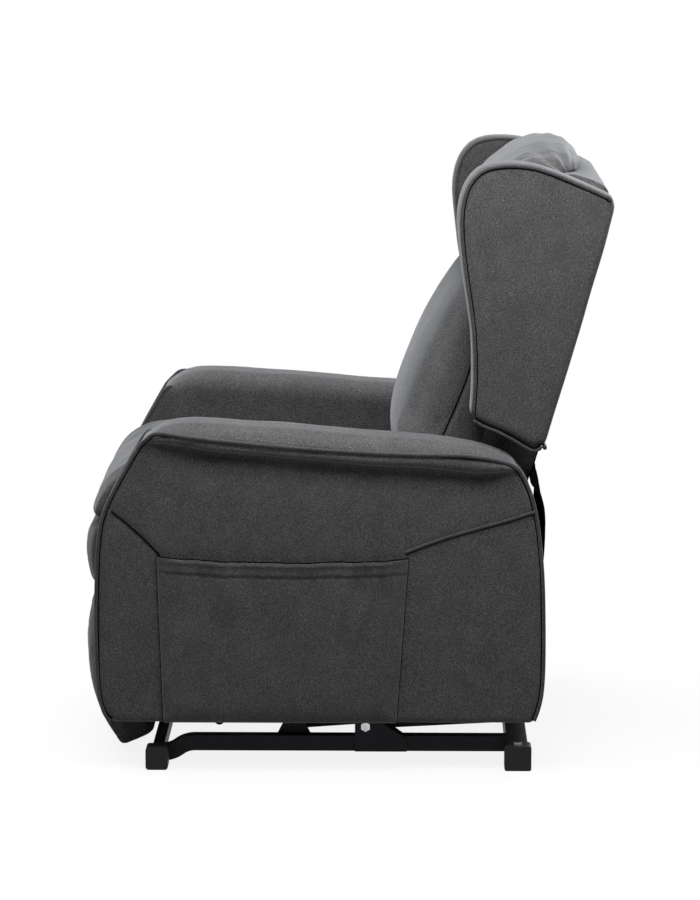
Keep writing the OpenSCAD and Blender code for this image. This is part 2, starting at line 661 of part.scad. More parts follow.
module arm_outer_panel(s) color("#3f434b") scale([s, 1, 1]) padded(ccw(arm_shape), mean(arm_shape), [1, 0],
    [[core_out + soft_gap, 1, 0], [x_out - 9, 1, 0], [x_out - 3, 0.99, 2], [x_out - 0.6, 0.976, 6], [x_out, 0.94, 13]]);
module arm_inner_panel(s) color("#3f434b") scale([s, 1, 1]) side(x_in, board_out) intersection() {
    polygon(arm_shape);
    union() {
        translate([-500, 0]) square([500 + side_tube_y[0] - soft_gap, 700]);
        translate([-500, seat_board_top + soft_gap]) square([1000, 300]);
    }
}
// Posts and top rail between the panels, padded where they show
module arm_core(s) color("#3f434b") scale([s, 1, 1]) side(side_out, core_out) {
    intersection() {
        polygon(arm_shape);
        translate([-500, 0]) square([120, 700]);
    }
    intersection() {
        polygon(arm_shape);
        translate([-379.7, 500]) square([800, 200]);
    }
    intersection() {
        polygon(arm_shape);
        translate([270, side_tube_z[1] + 1]) square([200, 353.7]);
    }
}
module arm_pad(s) color("#4a4e57") scale([s, 1, 1]) padded(ccw(pad_shape), [0, pad_line(0) + soft_gap], pad_grain,
    [for (k = [-1, -0.95, -0.82, -0.5, 0, 0.5, 0.82, 0.95, 1])
        [pad_centre + k * pad_width / 2, 1 - 0.66 * pow(abs(k), 3.2), 9 * pow(abs(k), 8)]]);

module arm_outer_panel_left() arm_outer_panel(1);
module arm_outer_panel_right() arm_outer_panel(-1);
module arm_inner_panel_left() arm_inner_panel(1);
module arm_inner_panel_right() arm_inner_panel(-1);
module arm_core_left() arm_core(1);
module arm_core_right() arm_core(-1);
module arm_pad_left() arm_pad(1);
module arm_pad_right() arm_pad(-1);

// Sheet sewn on along three edges: it stands off by up to pocket_depth within pocket_round of them
module side_pocket() {
    ny = 14;
    nz = 9;
    // Rows lie closer together towards the sewn edges
    function at(i, k) = let (s = (1 - cos(180 * i / ny)) / 2, t = 1 - cos(90 * k / nz))
        (1 - t) * ((1 - s) * pocket[0] + s * pocket[1]) + t * ((1 - s) * pocket[3] + s * pocket[2])
            - [0, pocket_sag * t * sin(180 * s)];
    function off(i, k) = let (p = at(i, k),
        d = min(p[0] - at(0, k)[0], at(ny, k)[0] - p[0], p[1] - at(i, 0)[1]), e = 1 - min(1, d / pocket_round))
        pocket_depth * sqrt(1 - e * e) + 0.8 * sin(3 * 360 * i / ny + 90) * k / nz * (1 - e);
    count = (ny + 1) * (nz + 1);
    function id(i, k) = i * (nz + 1) + k;
    points = [for (layer = [0, 1], i = [0:ny], k = [0:nz]) let (p = at(i, k))
        [x_out + soft_gap + off(i, k) + layer * pocket_sheet, p[0], p[1]]];
    sheet = [for (i = [0:ny - 1], k = [0:nz - 1]) let (a = id(i, k), b = id(i + 1, k), c = id(i + 1, k + 1), d = id(i, k + 1))
        each [[a, b, c], [a, c, d], [count + a, count + c, count + b], [count + a, count + d, count + c]]];
    ends = [for (k = [0:nz - 1], i = [0, ny]) let (a = id(i, k), b = id(i, k + 1))
        each i == 0 ? [[a, b, count + b], [a, count + b, count + a]] : [[a, count + b, b], [a, count + a, count + b]]];
    rims = [for (i = [0:ny - 1], k = [0, nz]) let (a = id(i, k), b = id(i + 1, k))
        each k == nz ? [[a, b, count + b], [a, count + b, count + a]] : [[a, count + b, b], [a, count + a, count + b]]];
    color("#454952") polyhedron(points, concat(sheet, ends, rims), convexity = 6);
}

// Covers behind the seat: a stiff panel below, and a loose flap up to the back
module rear_panel() color("#26282c") side(-board_out, board_out)
    translate([rear_panel_y, arm_bottom + 2]) square([rear_panel_depth, rear_panel_top - arm_bottom - 2]);
module rear_flap() color("#26282c") side(-board_out, board_out) polygon(concat(
    flap, [for (i = [len(flap) - 1:-1:0]) flap[i] - [flap_sheet, 0]]));

// ---- back ----

module on_back() translate([0, back_foot[0], back_foot[1]]) rotate([-back_tilt, 0, 0]) children();

module back_posts() color("#8a6a45") both() on_back()
    box([back_plate_in - 45, -post_front, -85], [back_plate_in, -back_cover - soft_gap, 440]);

module back_rails() color("#8a6a45") on_back() for (u = [-85, 150, 395])
    box([-back_plate_in + 45, -post_front + 8, u], [back_plate_in - 45, -back_cover - soft_gap - 8, u + 45]);

module back_plates() color("#3a3c40") {
    heel = [285, 505];
    both() side(back_plate_in, back_plate_out) difference() {
        union() {
            link(back_pivot, heel, 17);
            link(heel, [300, 575], 14);
        }
        disc(back_pivot, back_pin_r + run_fit);
    }
    difference() {
        union() {
            pin(back_pivot, back_tube_r, -back_plate_in, back_plate_in);
            translate([recline_drive_x, 0, 0]) {
                both() side(yoke_half + 1, yoke_half + 9) link(back_pivot, back_crank_pin, 15);
                pin(back_crank_pin, crank_pin_r, -yoke_half - 9, yoke_half + 9);
            }
        }
        both() pin(back_pivot, back_pin_r + run_fit, back_plate_in - 17, back_plate_in + 1);
    }
}

module back_cover_panel() color("#3f434b") {
    side(-x_in, x_in) polygon(cover_shape);
    on_back() box([-x_in + 12, -back_cover, -85], [x_in - 12, -4, -15.4]);
    // Cloth over the sides, between the back's plates and the arm pads
    both() side(back_plate_out + soft_gap, pad_in - soft_gap)
        polygon([on_slope(4, -16), on_slope(4, -85), on_slope(post_front, -85), on_slope(140, -60), on_slope(140, 30),
            on_slope(4, 30)]);
}

module back_cushion() color("#3f434b") padded(ccw(cushion_shape), on_slope(post_front + soft_gap, 0), back_grain,
    crowned(x_in - 6, 0.07, 0.7, 14));

// Gathered at its ends, so that it thins out towards them
module head_pillow() color("#454952") {
    at = [-1, -0.96, -0.88, -0.7, -0.4, 0, 0.4, 0.7, 0.88, 0.96, 1];
    skin(at * pillow_width / 2, [for (k = at)
        let (full = 1 - 0.42 * pow(abs(k), 3) - 0.25 * pow(max(abs(k) - 0.88, 0) / 0.12, 2))
        ccw(concat([for (i = [0:len(pillow_top) - 1]) pillow_seat[i] + full * (pillow_top[i] - pillow_seat[i])],
            [for (i = [len(pillow_seat) - 1:-1:0]) pillow_seat[i]]))]);
}

module wing(s) color("#3f434b") scale([s, 1, 1]) padded(ccw(wing_shape), mean(wing_shape), back_grain,
    [[x_in + 1, 0.95, 8], [x_in + 4, 0.99, 3], [x_in + 14, 1.02, 0], [x_in + wing_width / 2, 1.025, 0],
        [wing_out - 12, 1.005, 0], [wing_out - 3, 0.985, 4], [wing_out, 0.94, 10]]);
module wing_left() wing(1);
module wing_right() wing(-1);

// Round ends of the bar that locks the back in its plates
module back_lock_knobs() color("#17181a") both() pin(on_slope(18, 10), 6, wing_out + soft_gap, wing_out + 7);

// ---- handset in the pocket ----

module handset_case() color("#1b1c1f") translate([x_out + 2 * soft_gap, handset_at[0], handset_at[1]])
    difference() {
        union() {
            rotate([90, 0, 90]) linear_extrude(handset_depth) round_rect([handset_width, handset_length], 9);
        }
        for (b = button_at) translate([handset_depth - 2.5, b[0], b[1]]) rotate([0, 90, 0]) cylinder(r = button_r + 0.3, h = 4);
    }

module handset_buttons(k) color(k < 2 ? "#c9ccd0" : "#5f90a8")
    translate([x_out + 2 * soft_gap + handset_depth - 2.5 + button_travel, handset_at[0] + button_at[k][0], handset_at[1] + button_at[k][1]])
        rotate([0, 90, 0]) cylinder(r = button_r, h = 2.5);

module handset_button_1() handset_buttons(0);
module handset_button_2() handset_buttons(1);
module handset_button_3() handset_buttons(2);
module handset_button_4() handset_buttons(3);

base_rails();
front_cross_tube();
rear_cross_tube();
front_feet();
rear_feet();
rail_brackets();
lift_shaft_bar();
base_bolts();
lift_drive_case();
lift_drive_rod();
front_lift_arms();
rear_lift_arm_left();
rear_lift_arm_right();
chassis_side_tubes();
chassis_cross_tubes();
seat_side_boards();
seat_rails();
seat_springs();
seat_cushion();
control_box();
back_pivot_bolts();
link_plates();
recline_drive_case();
recline_drive_rod();
footrest_drive_case();
footrest_drive_rod();
footrest_cranks();
footrest_knee_links();
footrest_guide_links();
footrest_board_links();
footrest_board();
footrest_brackets();
footrest_upper_pad();
footrest_lower_pad();
arm_outer_panel_left();
arm_outer_panel_right();
arm_inner_panel_left();
arm_inner_panel_right();
arm_core_left();
arm_core_right();
arm_pad_left();
arm_pad_right();
side_pocket();
rear_panel();
rear_flap();
back_posts();
back_rails();
back_plates();
back_cover_panel();
back_cushion();
head_pillow();
wing_left();
wing_right();
back_lock_knobs();
handset_case();
handset_button_1();
handset_button_2();
handset_button_3();
handset_button_4();
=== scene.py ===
"""Looks of a lift recliner chair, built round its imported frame.

Metres. +Z is up, the sitter faces -Y, and +X is the sitter's left, the side with the pocket.
Each soft piece starts from the solid of the frame's node that it stands for, or from an outline cut through it.
"""

import json
import math

import bmesh
import bpy
import numpy as np
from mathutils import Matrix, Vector


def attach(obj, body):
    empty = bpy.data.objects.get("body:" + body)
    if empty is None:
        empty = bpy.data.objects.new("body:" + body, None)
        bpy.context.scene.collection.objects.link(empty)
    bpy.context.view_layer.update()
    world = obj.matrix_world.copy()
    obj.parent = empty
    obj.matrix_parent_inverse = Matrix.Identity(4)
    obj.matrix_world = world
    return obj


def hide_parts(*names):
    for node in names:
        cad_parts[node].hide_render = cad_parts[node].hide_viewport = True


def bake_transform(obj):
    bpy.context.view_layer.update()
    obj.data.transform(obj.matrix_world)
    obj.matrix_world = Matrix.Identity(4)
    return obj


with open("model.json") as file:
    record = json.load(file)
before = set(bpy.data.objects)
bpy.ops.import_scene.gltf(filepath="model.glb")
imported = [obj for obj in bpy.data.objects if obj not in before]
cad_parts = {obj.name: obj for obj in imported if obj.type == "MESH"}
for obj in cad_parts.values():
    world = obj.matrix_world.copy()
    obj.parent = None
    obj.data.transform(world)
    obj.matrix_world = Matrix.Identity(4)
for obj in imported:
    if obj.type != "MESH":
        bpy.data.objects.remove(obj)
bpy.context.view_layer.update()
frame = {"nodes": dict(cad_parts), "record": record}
NODES = frame["nodes"]

# ---------------------------------------------------------------- outlines


def chains(bm):
    """The connected runs of edges in bm, each as a list of coordinates."""
    runs, seen = [], set()
    for first in bm.verts:
        if first in seen:
            continue
        path, vert = [], first
        while vert is not None:
            seen.add(vert)
            path.append(tuple(vert.co))
            ahead = [e.other_vert(vert) for e in vert.link_edges if e.other_vert(vert) not in seen]
            vert = ahead[0] if ahead else None
        runs.append(np.array(path))
    return runs


def length(path):
    """Length of an open path."""
    return np.linalg.norm(np.diff(path, axis=0), axis=1).sum()


def section(node, x):
    """The longest outline that the plane at x cuts from a node, as (y, z) rows, counter-clockwise from the left."""
    bm = bmesh.new()
    bm.from_mesh(NODES[node].data)
    bmesh.ops.remove_doubles(bm, verts=bm.verts, dist=1e-5)
    geom = bm.verts[:] + bm.edges[:] + bm.faces[:]
    bmesh.ops.bisect_plane(bm, geom=geom, plane_co=(x, 0, 0), plane_no=(1, 0, 0),
                           clear_inner=True, clear_outer=True)
    bmesh.ops.remove_doubles(bm, verts=bm.verts, dist=1e-5)
    loop = max(chains(bm), key=length)[:, 1:]
    bm.free()
    after = np.roll(loop, -1, axis=0)
    if (loop[:, 0] * after[:, 1] - after[:, 0] * loop[:, 1]).sum() < 0:
        loop = loop[::-1]
    return np.roll(loop, -int(loop[:, 0].argmin()), axis=0)


def resample(path, count, closed=True):
    """The path as `count` points at even spacing."""
    path = np.asarray(path, float)
    if closed:
        path = np.vstack([path, path[:1]])
    run = np.concatenate([[0], np.cumsum(np.linalg.norm(np.diff(path, axis=0), axis=1))])
    at = np.linspace(0, run[-1], count + 1)[:-1] if closed else np.linspace(0, run[-1], count)
    return np.stack([np.interp(at, run, path[:, k]) for k in range(path.shape[1])], 1)


def outward(path):
    """Unit normals of a closed (y, z) path that runs counter-clockwise."""
    along = np.roll(path, -1, axis=0) - np.roll(path, 1, axis=0)
    along /= np.linalg.norm(along, axis=1)[:, None] + 1e-12
    return np.stack([along[:, 1], -along[:, 0]], 1)


def at_x(path, x):
    """(y, z) rows as (x, y, z) rows; x is a number or one per row."""
    return np.column_stack([np.broadcast_to(x, len(path)), path])


def curve(points, per_span=8):
    """A smooth open curve through given points."""
    p = np.asarray(points, float)
    p = np.vstack([2 * p[0] - p[1], p, 2 * p[-1] - p[-2]])
    out = []
    for a, b, c, d in zip(p, p[1:], p[2:], p[3:]):
        t = np.linspace(0, 1, per_span, endpoint=False)[:, None]
        out.append(0.5 * (2 * b + (c - a) * t + (2 * a - 5 * b + 4 * c - d) * t**2
                          + (3 * b - a - 3 * c + d) * t**3))
    return np.vstack(out + [p[-2:-1]])


# ---------------------------------------------------------------- meshes


def piece(name, verts, faces, material, body, replaces=()):
    """A smooth-shaded mesh object that rides on a body."""
    mesh = bpy.data.meshes.new(name)
    mesh.from_pydata([tuple(map(float, v)) for v in verts], [], [tuple(map(int, f)) for f in faces])
    return dress(bpy.data.objects.new(name, mesh), material, body, replaces)


def dress(obj, material, body, replaces=()):
    """Gives an object its material and body, and hides the nodes that it stands for."""
    if obj.name not in bpy.context.collection.objects:
        bpy.context.collection.objects.link(obj)
    obj.data.materials.clear()
    obj.data.materials.append(material)
    for polygon in obj.data.polygons:
        polygon.use_smooth = True
    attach(obj, body)
    if replaces:
        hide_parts(*replaces)
    return obj


def coords(obj):
    """Places of the object's vertices."""
    flat = np.empty(len(obj.data.vertices) * 3, np.float32)
    obj.data.vertices.foreach_get("co", flat)
    return flat.reshape(-1, 3).astype(float)


def set_coords(obj, verts):
    obj.data.vertices.foreach_set("co", np.ascontiguousarray(verts, np.float32).ravel())
    obj.data.update()


def normals(obj):
    """Normals at the object's vertices."""
    flat = np.empty(len(obj.data.vertices) * 3, np.float32)
    obj.data.vertices.foreach_get("normal", flat)
    return flat.reshape(-1, 3).astype(float)


def push(obj, by):
    """Moves each vertex out along its normal."""
    set_coords(obj, coords(obj) + normals(obj) * by[:, None])


def edge_ends(obj):
    """The first and the second vertex of every edge."""
    ends = np.empty(len(obj.data.edges) * 2, np.int32)
    obj.data.edges.foreach_get("vertices", ends)
    return ends.reshape(-1, 2).T


def add_object(name, data):
    """A new object with the mesh, lamp or camera, in the scene."""
    obj = bpy.data.objects.new(name, data)
    bpy.context.collection.objects.link(obj)
    return obj


def apply_all(obj):
    """Bakes the object's modifiers into its mesh."""
    graph = bpy.context.evaluated_depsgraph_get()
    mesh = bpy.data.meshes.new_from_object(obj.evaluated_get(graph))
    obj.modifiers.clear()
    old = obj.data
    obj.data = mesh
    bpy.data.meshes.remove(old)
    return obj


def solid_copy(name, nodes):
    """A new object with the joined meshes of one or more nodes."""
    bm = bmesh.new()
    for node in nodes:
        bm.from_mesh(NODES[node].data)
    bmesh.ops.remove_doubles(bm, verts=bm.verts, dist=1e-5)
    mesh = bpy.data.meshes.new(name)
    bm.to_mesh(mesh)
    bm.free()
    return add_object(name, mesh)


def loft(name, rings):
    """A new closed object through rings of as many points each."""
    count = len(rings[0])
    verts = [tuple(map(float, v)) for ring in rings for v in ring]
    faces = [tuple(range(count))[::-1], tuple(range(len(verts) - count, len(verts)))]
    for i in range(len(rings) - 1):
        for k in range(count):
            m = (k + 1) % count
            faces.append((i * count + k, i * count + m, (i + 1) * count + m, (i + 1) * count + k))
    mesh = bpy.data.meshes.new(name)
    mesh.from_pydata(verts, [], faces)
    return add_object(name, mesh)


def keep_largest(obj):
    """Drops the closed bubbles that a remesh leaves between solids that touch."""
    bm = bmesh.new()
    bm.from_mesh(obj.data)
    left, best = set(bm.verts), set()
    while left:
        found = set()
        edge = [left.pop()]
        while edge:
            vert = edge.pop()
            found.add(vert)
            for e in vert.link_edges:
                other = e.other_vert(vert)
                if other in left:
                    left.discard(other)
                    edge.append(other)
        best = max(best, found, key=len)
    bmesh.ops.delete(bm, geom=[v for v in bm.verts if v not in best], context="VERTS")
    bm.to_mesh(obj.data)
    bm.free()
    return obj


def remesh(obj, voxel, smooth):
    """Even quads over the object's shape, eased by `smooth` rounds."""
    grid = obj.modifiers.new("grid", "REMESH")
    grid.mode = "VOXEL"
    grid.voxel_size = voxel
    grid.use_smooth_shade = True
    obj.modifiers.new("ease", "SMOOTH").iterations = smooth
    return keep_largest(apply_all(obj))


def mirrored(obj, name):
    """A copy of the object on the chair's other side."""
    twin = add_object(name, obj.data.copy())
    twin.data.name = name
    verts = coords(twin)
    verts[:, 0] *= -1
    set_coords(twin, verts)
    twin.data.flip_normals()
    return twin


def subdivide(obj):
    obj.modifiers.new("finer", "SUBSURF")
    return apply_all(obj)


def ripple(points, size, seed, stretch=(1, 1, 1)):
    """Smooth, repeatable unevenness of about `size` metres across, from -1 to 1."""
    rng = np.random.default_rng(seed)
    total = np.zeros(len(points))
    for _ in range(9):
        way = rng.normal(size=3) / np.array(stretch)
        way *= 2 * math.pi / size / np.linalg.norm(way) * rng.uniform(0.6, 1.5)
        total += np.sin(points @ way + rng.uniform(0, 2 * math.pi))
    return total / 4.5


def distance_to(points, path):
    """Distance from each point to a polyline."""
    best = np.full(len(points), 1e9)
    for a, b in zip(path[:-1], path[1:]):
        run = b - a
        t = np.clip(((points - a) @ run) / max(run @ run, 1e-12), 0, 1)
        best = np.minimum(best, ((points - a - t[:, None] * run) ** 2).sum(1))
    return np.sqrt(best)


def swell(obj, where, most):
    """Raises the middle of the marked part of a surface, as stuffing under it does."""
    lift = where.astype(float)
    a, b = edge_ends(obj)
    count = np.bincount(a, minlength=len(lift)) + np.bincount(b, minlength=len(lift))
    for _ in range(60):
        near = np.bincount(a, lift[b], len(lift)) + np.bincount(b, lift[a], len(lift))
        lift = np.where(where, near / count, 0)
    push(obj, most * lift)


def groove(obj, path, depth, width):
    """Presses a seam into a surface along a path of (x, y, z) rows."""
    near = distance_to(coords(obj), path)
    push(obj, -depth * np.exp(-(near / width) ** 2))


def uneven(obj, depth, size, seed):
    """Makes a surface a little uneven, as stuffing under cloth is."""
    push(obj, depth * ripple(coords(obj), size, seed))


def ease_where(obj, weight, rounds):
    """Smooths the surface, each vertex as much as its weight from 0 to 1."""
    a, b = edge_ends(obj)
    verts = coords(obj)
    count = np.bincount(a, minlength=len(verts)) + np.bincount(b, minlength=len(verts))
    for _ in range(rounds):
        near = np.zeros_like(verts)
        np.add.at(near, a, verts[b])
        np.add.at(near, b, verts[a])
        verts += (weight * 0.6)[:, None] * (near / count[:, None] - verts)
    set_coords(obj, verts)


def tube(name, path, radius, material, body, sides=10):
    """A round tube along an open path, with flat ends."""
    count = len(path)
    along = np.gradient(path, axis=0)
    along /= np.linalg.norm(along, axis=1)[:, None] + 1e-12
    normal = np.cross(along[0], [1.0, 0.0, 0.0])
    if np.linalg.norm(normal) < 0.1:
        normal = np.cross(along[0], [0.0, 0.0, 1.0])
    verts = []
    for here, way in zip(path, along):
        normal = normal - way * (normal @ way)
        normal /= np.linalg.norm(normal)
        side = np.cross(way, normal)
        for k in range(sides):
            a = 2 * math.pi * k / sides
            verts.append(here + radius * (math.cos(a) * normal + math.sin(a) * side))
    faces = []
    for i in range(count - 1):
        for k in range(sides):
            m = (k + 1) % sides
            faces.append((i * sides + k, i * sides + m, (i + 1) * sides + m, (i + 1) * sides + k))
    faces.append(tuple(range(sides))[::-1])
    faces.append(tuple((count - 1) * sides + k for k in range(sides)))
    return piece(name, verts, faces, material, body)


PUFF_FRAMES = 14
PUFF_STIFFNESS = 18.0


def puff(obj, held, pressure, cap):
    """Cloth simulation that fills a closed mesh like stuffing, by `cap` at most. `held` marks what stays in place."""
    group = obj.vertex_groups.new(name="held")
    for i, w in enumerate(held):
        if w > 0.02:
            group.add([i], float(w), "REPLACE")
    before = coords(obj)
    cloth = obj.modifiers.new("stuffing", "CLOTH")
    cloth.settings.effector_weights.gravity = 0.0
    cloth.settings.quality = 4
    cloth.settings.mass = 0.3
    cloth.settings.tension_stiffness = PUFF_STIFFNESS
    cloth.settings.compression_stiffness = PUFF_STIFFNESS
    cloth.settings.shear_stiffness = PUFF_STIFFNESS / 2
    cloth.settings.bending_stiffness = 0.4
    cloth.settings.use_pressure = True
    cloth.settings.uniform_pressure_force = pressure
    cloth.settings.vertex_group_mass = "held"
    cloth.point_cache.frame_start = 1
    cloth.point_cache.frame_end = PUFF_FRAMES
    for step in range(1, PUFF_FRAMES + 1):
        bpy.context.scene.frame_set(step)
    apply_all(obj)
    bpy.context.scene.frame_set(1)
    moved = coords(obj) - before
    far = np.linalg.norm(moved, axis=1)
    moved *= (np.minimum(far, cap) / np.maximum(far, 1e-9))[:, None]
    set_coords(obj, before + moved)
    obj.vertex_groups.clear()


# ---------------------------------------------------------------- materials


class Nodes:
    """A short way to write a material's node tree."""

    def __init__(self, name):
        self.material = bpy.data.materials.new(name)
        self.material.use_nodes = True
        self.tree = self.material.node_tree
        self.shader = self.tree.nodes["Principled BSDF"]
        self.place = self.add("ShaderNodeTexCoord").outputs["Object"]

    def add(self, kind, inputs=(), **settings):
        node = self.tree.nodes.new(kind)
        for key, value in settings.items():
            setattr(node, key, value)
        for key, value in dict(inputs).items():
            self.put(node.inputs[key], value)
        return node

    def put(self, socket, value):
        if isinstance(value, bpy.types.NodeSocket):
            self.tree.links.new(value, socket)
        else:
            socket.default_value = value

    def set(self, **inputs):
        for key, value in inputs.items():
            self.put(self.shader.inputs[key.replace("_", " ")], value)

    def noise(self, scale, detail, rough=0.5, stretch=(1, 1, 1)):
        where = self.add("ShaderNodeMapping", {"Vector": self.place, "Scale": stretch}).outputs[0]
        return self.add("ShaderNodeTexNoise", {"Vector": where, "Scale": scale, "Detail": detail,
                                               "Roughness": rough}).outputs["Fac"]

    def cells(self, scale):
        return self.add("ShaderNodeTexVoronoi", {"Vector": self.place, "Scale": scale}).outputs["Distance"]

    def maths(self, operation, a, b):
        return self.add("ShaderNodeMath", {0: a, 1: b}, operation=operation).outputs[0]

    def ramp(self, factor, *stops):
        node = self.add("ShaderNodeValToRGB", {"Fac": factor})
        while len(node.color_ramp.elements) < len(stops):
            node.color_ramp.elements.new(0.5)
        for element, (position, colour) in zip(node.color_ramp.elements, stops):
            element.position = position
            element.color = (*colour, 1) if len(colour) == 3 else colour
        return node.outputs["Color"]

    def mix(self, factor, a, b, blend="MIX"):
        node = self.add("ShaderNodeMix", data_type="RGBA", blend_type=blend)
        self.put(node.inputs["Factor"], factor)
        self.put(node.inputs[6], a)
        self.put(node.inputs[7], b)
        return node.outputs[2]

    def bump(self, height, strength, distance, under=None):
        inputs = {"Height": height, "Strength": strength, "Distance": distance}
        if under is not None:
            inputs["Normal"] = under
        return self.add("ShaderNodeBump", inputs).outputs["Normal"]


def woven(name, dark, light, fleck):
    """Heathered upholstery cloth: short yarns in two directions, flecks of a paler yarn and a soft nap."""
    m = Nodes(name)
    yarn_across = m.noise(700, 2, 0.6, (0.45, 0.45, 1.6))
    yarn_up = m.noise(700, 2, 0.6, (1.6, 1.6, 0.45))
    yarns = m.maths("MULTIPLY", m.maths("ADD", yarn_across, yarn_up), 0.5)
    heather = m.noise(430, 3, 0.7)
    blotch = m.noise(26, 4, 0.6)
    tone = m.maths("ADD", m.maths("MULTIPLY", yarns, 0.62), m.maths("MULTIPLY", heather, 0.38))
    colour = m.ramp(tone, (0.41, dark), (0.505, light), (0.62, fleck))
    worn = m.ramp(blotch, (0.3, (0.86, 0.86, 0.87)), (0.7, (1.1, 1.1, 1.1)))
    colour = m.mix(1.0, colour, worn, "MULTIPLY")
    m.set(Base_Color=colour, Roughness=0.92, Specular_IOR_Level=0.18, Sheen_Weight=0.35,
          Sheen_Roughness=0.45, Sheen_Tint=(0.93, 0.96, 1.0, 1))
    pebble = m.cells(900)
    under = m.bump(m.noise(90, 3, 0.5), 0.25, 0.0008)
    m.set(Normal=m.bump(m.maths("ADD", yarns, m.maths("MULTIPLY", pebble, 0.5)), 0.55, 0.0006, under))
    return m.material


def lining(name, colour):
    """Thin plain cloth with a fine grain and soft folds."""
    m = Nodes(name)
    grain = m.noise(900, 1)
    m.set(Base_Color=m.ramp(grain, (0.3, [0.6 * c for c in colour]), (0.7, colour)), Roughness=0.95,
          Specular_IOR_Level=0.0)
    m.set(Normal=m.bump(grain, 0.5, 0.0004, m.bump(m.noise(18, 3), 0.35, 0.004)))
    return m.material


def coated(name, colour):
    """Powder-coated steel: fine orange peel, rounded edges and a little dust."""
    m = Nodes(name)
    dust = m.noise(14, 5, 0.65)
    tint = m.ramp(dust, (0.35, colour), (0.75, [1.5 * c + 0.004 for c in colour]))
    m.set(Base_Color=tint, Roughness=m.maths("ADD", m.maths("MULTIPLY", m.noise(60, 4), 0.2), 0.4),
          Specular_IOR_Level=0.12)
    edge = m.add("ShaderNodeBevel", {"Radius": 0.0012}, samples=4).outputs[0]
    m.set(Normal=m.bump(m.noise(1500, 2, 0.5), 0.12, 0.0003, edge))
    return m.material


def zinc(name):
    """Zinc-plated steel with faint drawn lines and dull patches."""
    m = Nodes(name)
    patch = m.noise(55, 4, 0.6)
    m.set(Base_Color=m.ramp(patch, (0.35, (0.42, 0.43, 0.45)), (0.65, (0.66, 0.67, 0.69))), Metallic=1.0,
          Roughness=m.maths("ADD", m.maths("MULTIPLY", patch, 0.3), 0.2))
    edge = m.add("ShaderNodeBevel", {"Radius": 0.0006}, samples=4).outputs[0]
    m.set(Normal=m.bump(m.noise(1400, 2, 0.5, (0.05, 1, 1)), 0.15, 0.0002, edge))
    return m.material


def moulded(name, colour, rough=0.5):
    """Injection-moulded plastic with a fine spark-eroded grain."""
    m = Nodes(name)
    m.set(Base_Color=m.ramp(m.noise(35, 3), (0.3, [0.85 * c for c in colour]), (0.7, colour)),
          Roughness=m.maths("ADD", m.maths("MULTIPLY", m.noise(300, 2), 0.16), rough - 0.08),
          Specular_IOR_Level=0.2)
    edge = m.add("ShaderNodeBevel", {"Radius": 0.001}, samples=4).outputs[0]
    m.set(Normal=m.bump(m.cells(2200), 0.1, 0.0003, edge))
    return m.material


def timber(name):
    """Pale sawn board with its grain along X and Y."""
    m = Nodes(name)
    grain = m.noise(38, 6, 0.6, (0.12, 0.12, 1.6))
    fibre = m.noise(420, 3, 0.5, (0.06, 0.06, 1.0))
    colour = m.ramp(grain, (0.3, (0.36, 0.24, 0.13)), (0.5, (0.52, 0.37, 0.21)), (0.72, (0.64, 0.48, 0.3)))
    m.set(Base_Color=m.mix(m.maths("MULTIPLY", fibre, 0.35), colour, (0.3, 0.2, 0.11, 1)), Roughness=0.75)
    m.set(Normal=m.bump(fibre, 0.35, 0.0005))
    return m.material


CLOTH = woven("charcoal cloth", (0.032, 0.0315, 0.0315), (0.076, 0.0755, 0.076), (0.165, 0.164, 0.166))
# The same cloth painted darker for the piping: painted shade
PIPING_SHADED_CLOTH = woven("charcoal cloth painted darker for piping", (0.030, 0.030, 0.031), (0.060, 0.060, 0.061), (0.11, 0.11, 0.112))
THREAD = lining("charcoal thread", (0.07, 0.07, 0.072))
# Near-black cloth for the thin tubes along seams and crevices: painted shade, not thread
PAINTED_SEAM_SHADE = lining("painted seam shade", (0.006, 0.006, 0.006))
LINING = lining("dark lining", (0.009, 0.009, 0.010))
STEEL = coated("black powder coat", (0.007, 0.0075, 0.0095))
ZINC = zinc("zinc plate")
WOOD = timber("sawn board")
PLASTIC = moulded("black moulding", (0.010, 0.010, 0.011))
KEY_GREY = moulded("grey keys", (0.42, 0.44, 0.46), 0.4)
KEY_BLUE = moulded("blue keys", (0.12, 0.24, 0.32), 0.4)

SLOT_MATERIALS = {"upholstery": CLOTH, "back_cloth": LINING, "timber": WOOD, "black_plastic": PLASTIC,
                  "zinc": ZINC, "black_steel": STEEL, "keys": KEY_GREY}
# Nodes that don't look like the rest of their slot
OWN_MATERIALS = {"handset_button_3": KEY_BLUE, "handset_button_4": KEY_BLUE, "lift_shaft_bar": STEEL}


def dress_nodes():
    """Gives every node of the frame its material."""
    slots = {part["node"]: part["material_slot"] for part in frame["record"]["subparts"]}
    for name, obj in NODES.items():
        obj.data.materials.clear()
        obj.data.materials.append(OWN_MATERIALS.get(name, SLOT_MATERIALS[slots[name]]))


dress_nodes()

# ---------------------------------------------------------------- upholstery

MM = 0.001
PIPE = 3.4 * MM
# Radius of the black tubes that paint shade along seams and crevices
SHADE_LINE_RADIUS = 1.3 * MM
# From the chair's middle: the arms' inner and outer sides, the wings' outer side, and the rear cover's edge
X_IN, X_OUT, WING_OUT, COVER_EDGE = 0.262, 0.380, 0.337, 0.2575
SIDES = {"left": 1, "right": -1}


def mm(*rows):
    """Rows in millimetres as an array in metres."""
    return np.array(rows, float) * MM


def flip(path, side):
    """The path on the left for side 1, and on the right for -1."""
    return path * (side, 1, 1)


def finish_soft(obj, nodes, body):
    """Gives an object the cloth and a body, and hides the nodes that it stands for."""
    dress(obj, CLOTH, body, nodes)


def piping(name, path, body, radius=PIPE):
    """Cloth-covered cord sewn into a seam, in the cloth painted darker as shade."""
    count = max(8, int(length(path) / (6 * MM)))
    tube(name, resample(path, count, False), radius, PIPING_SHADED_CLOTH, body)


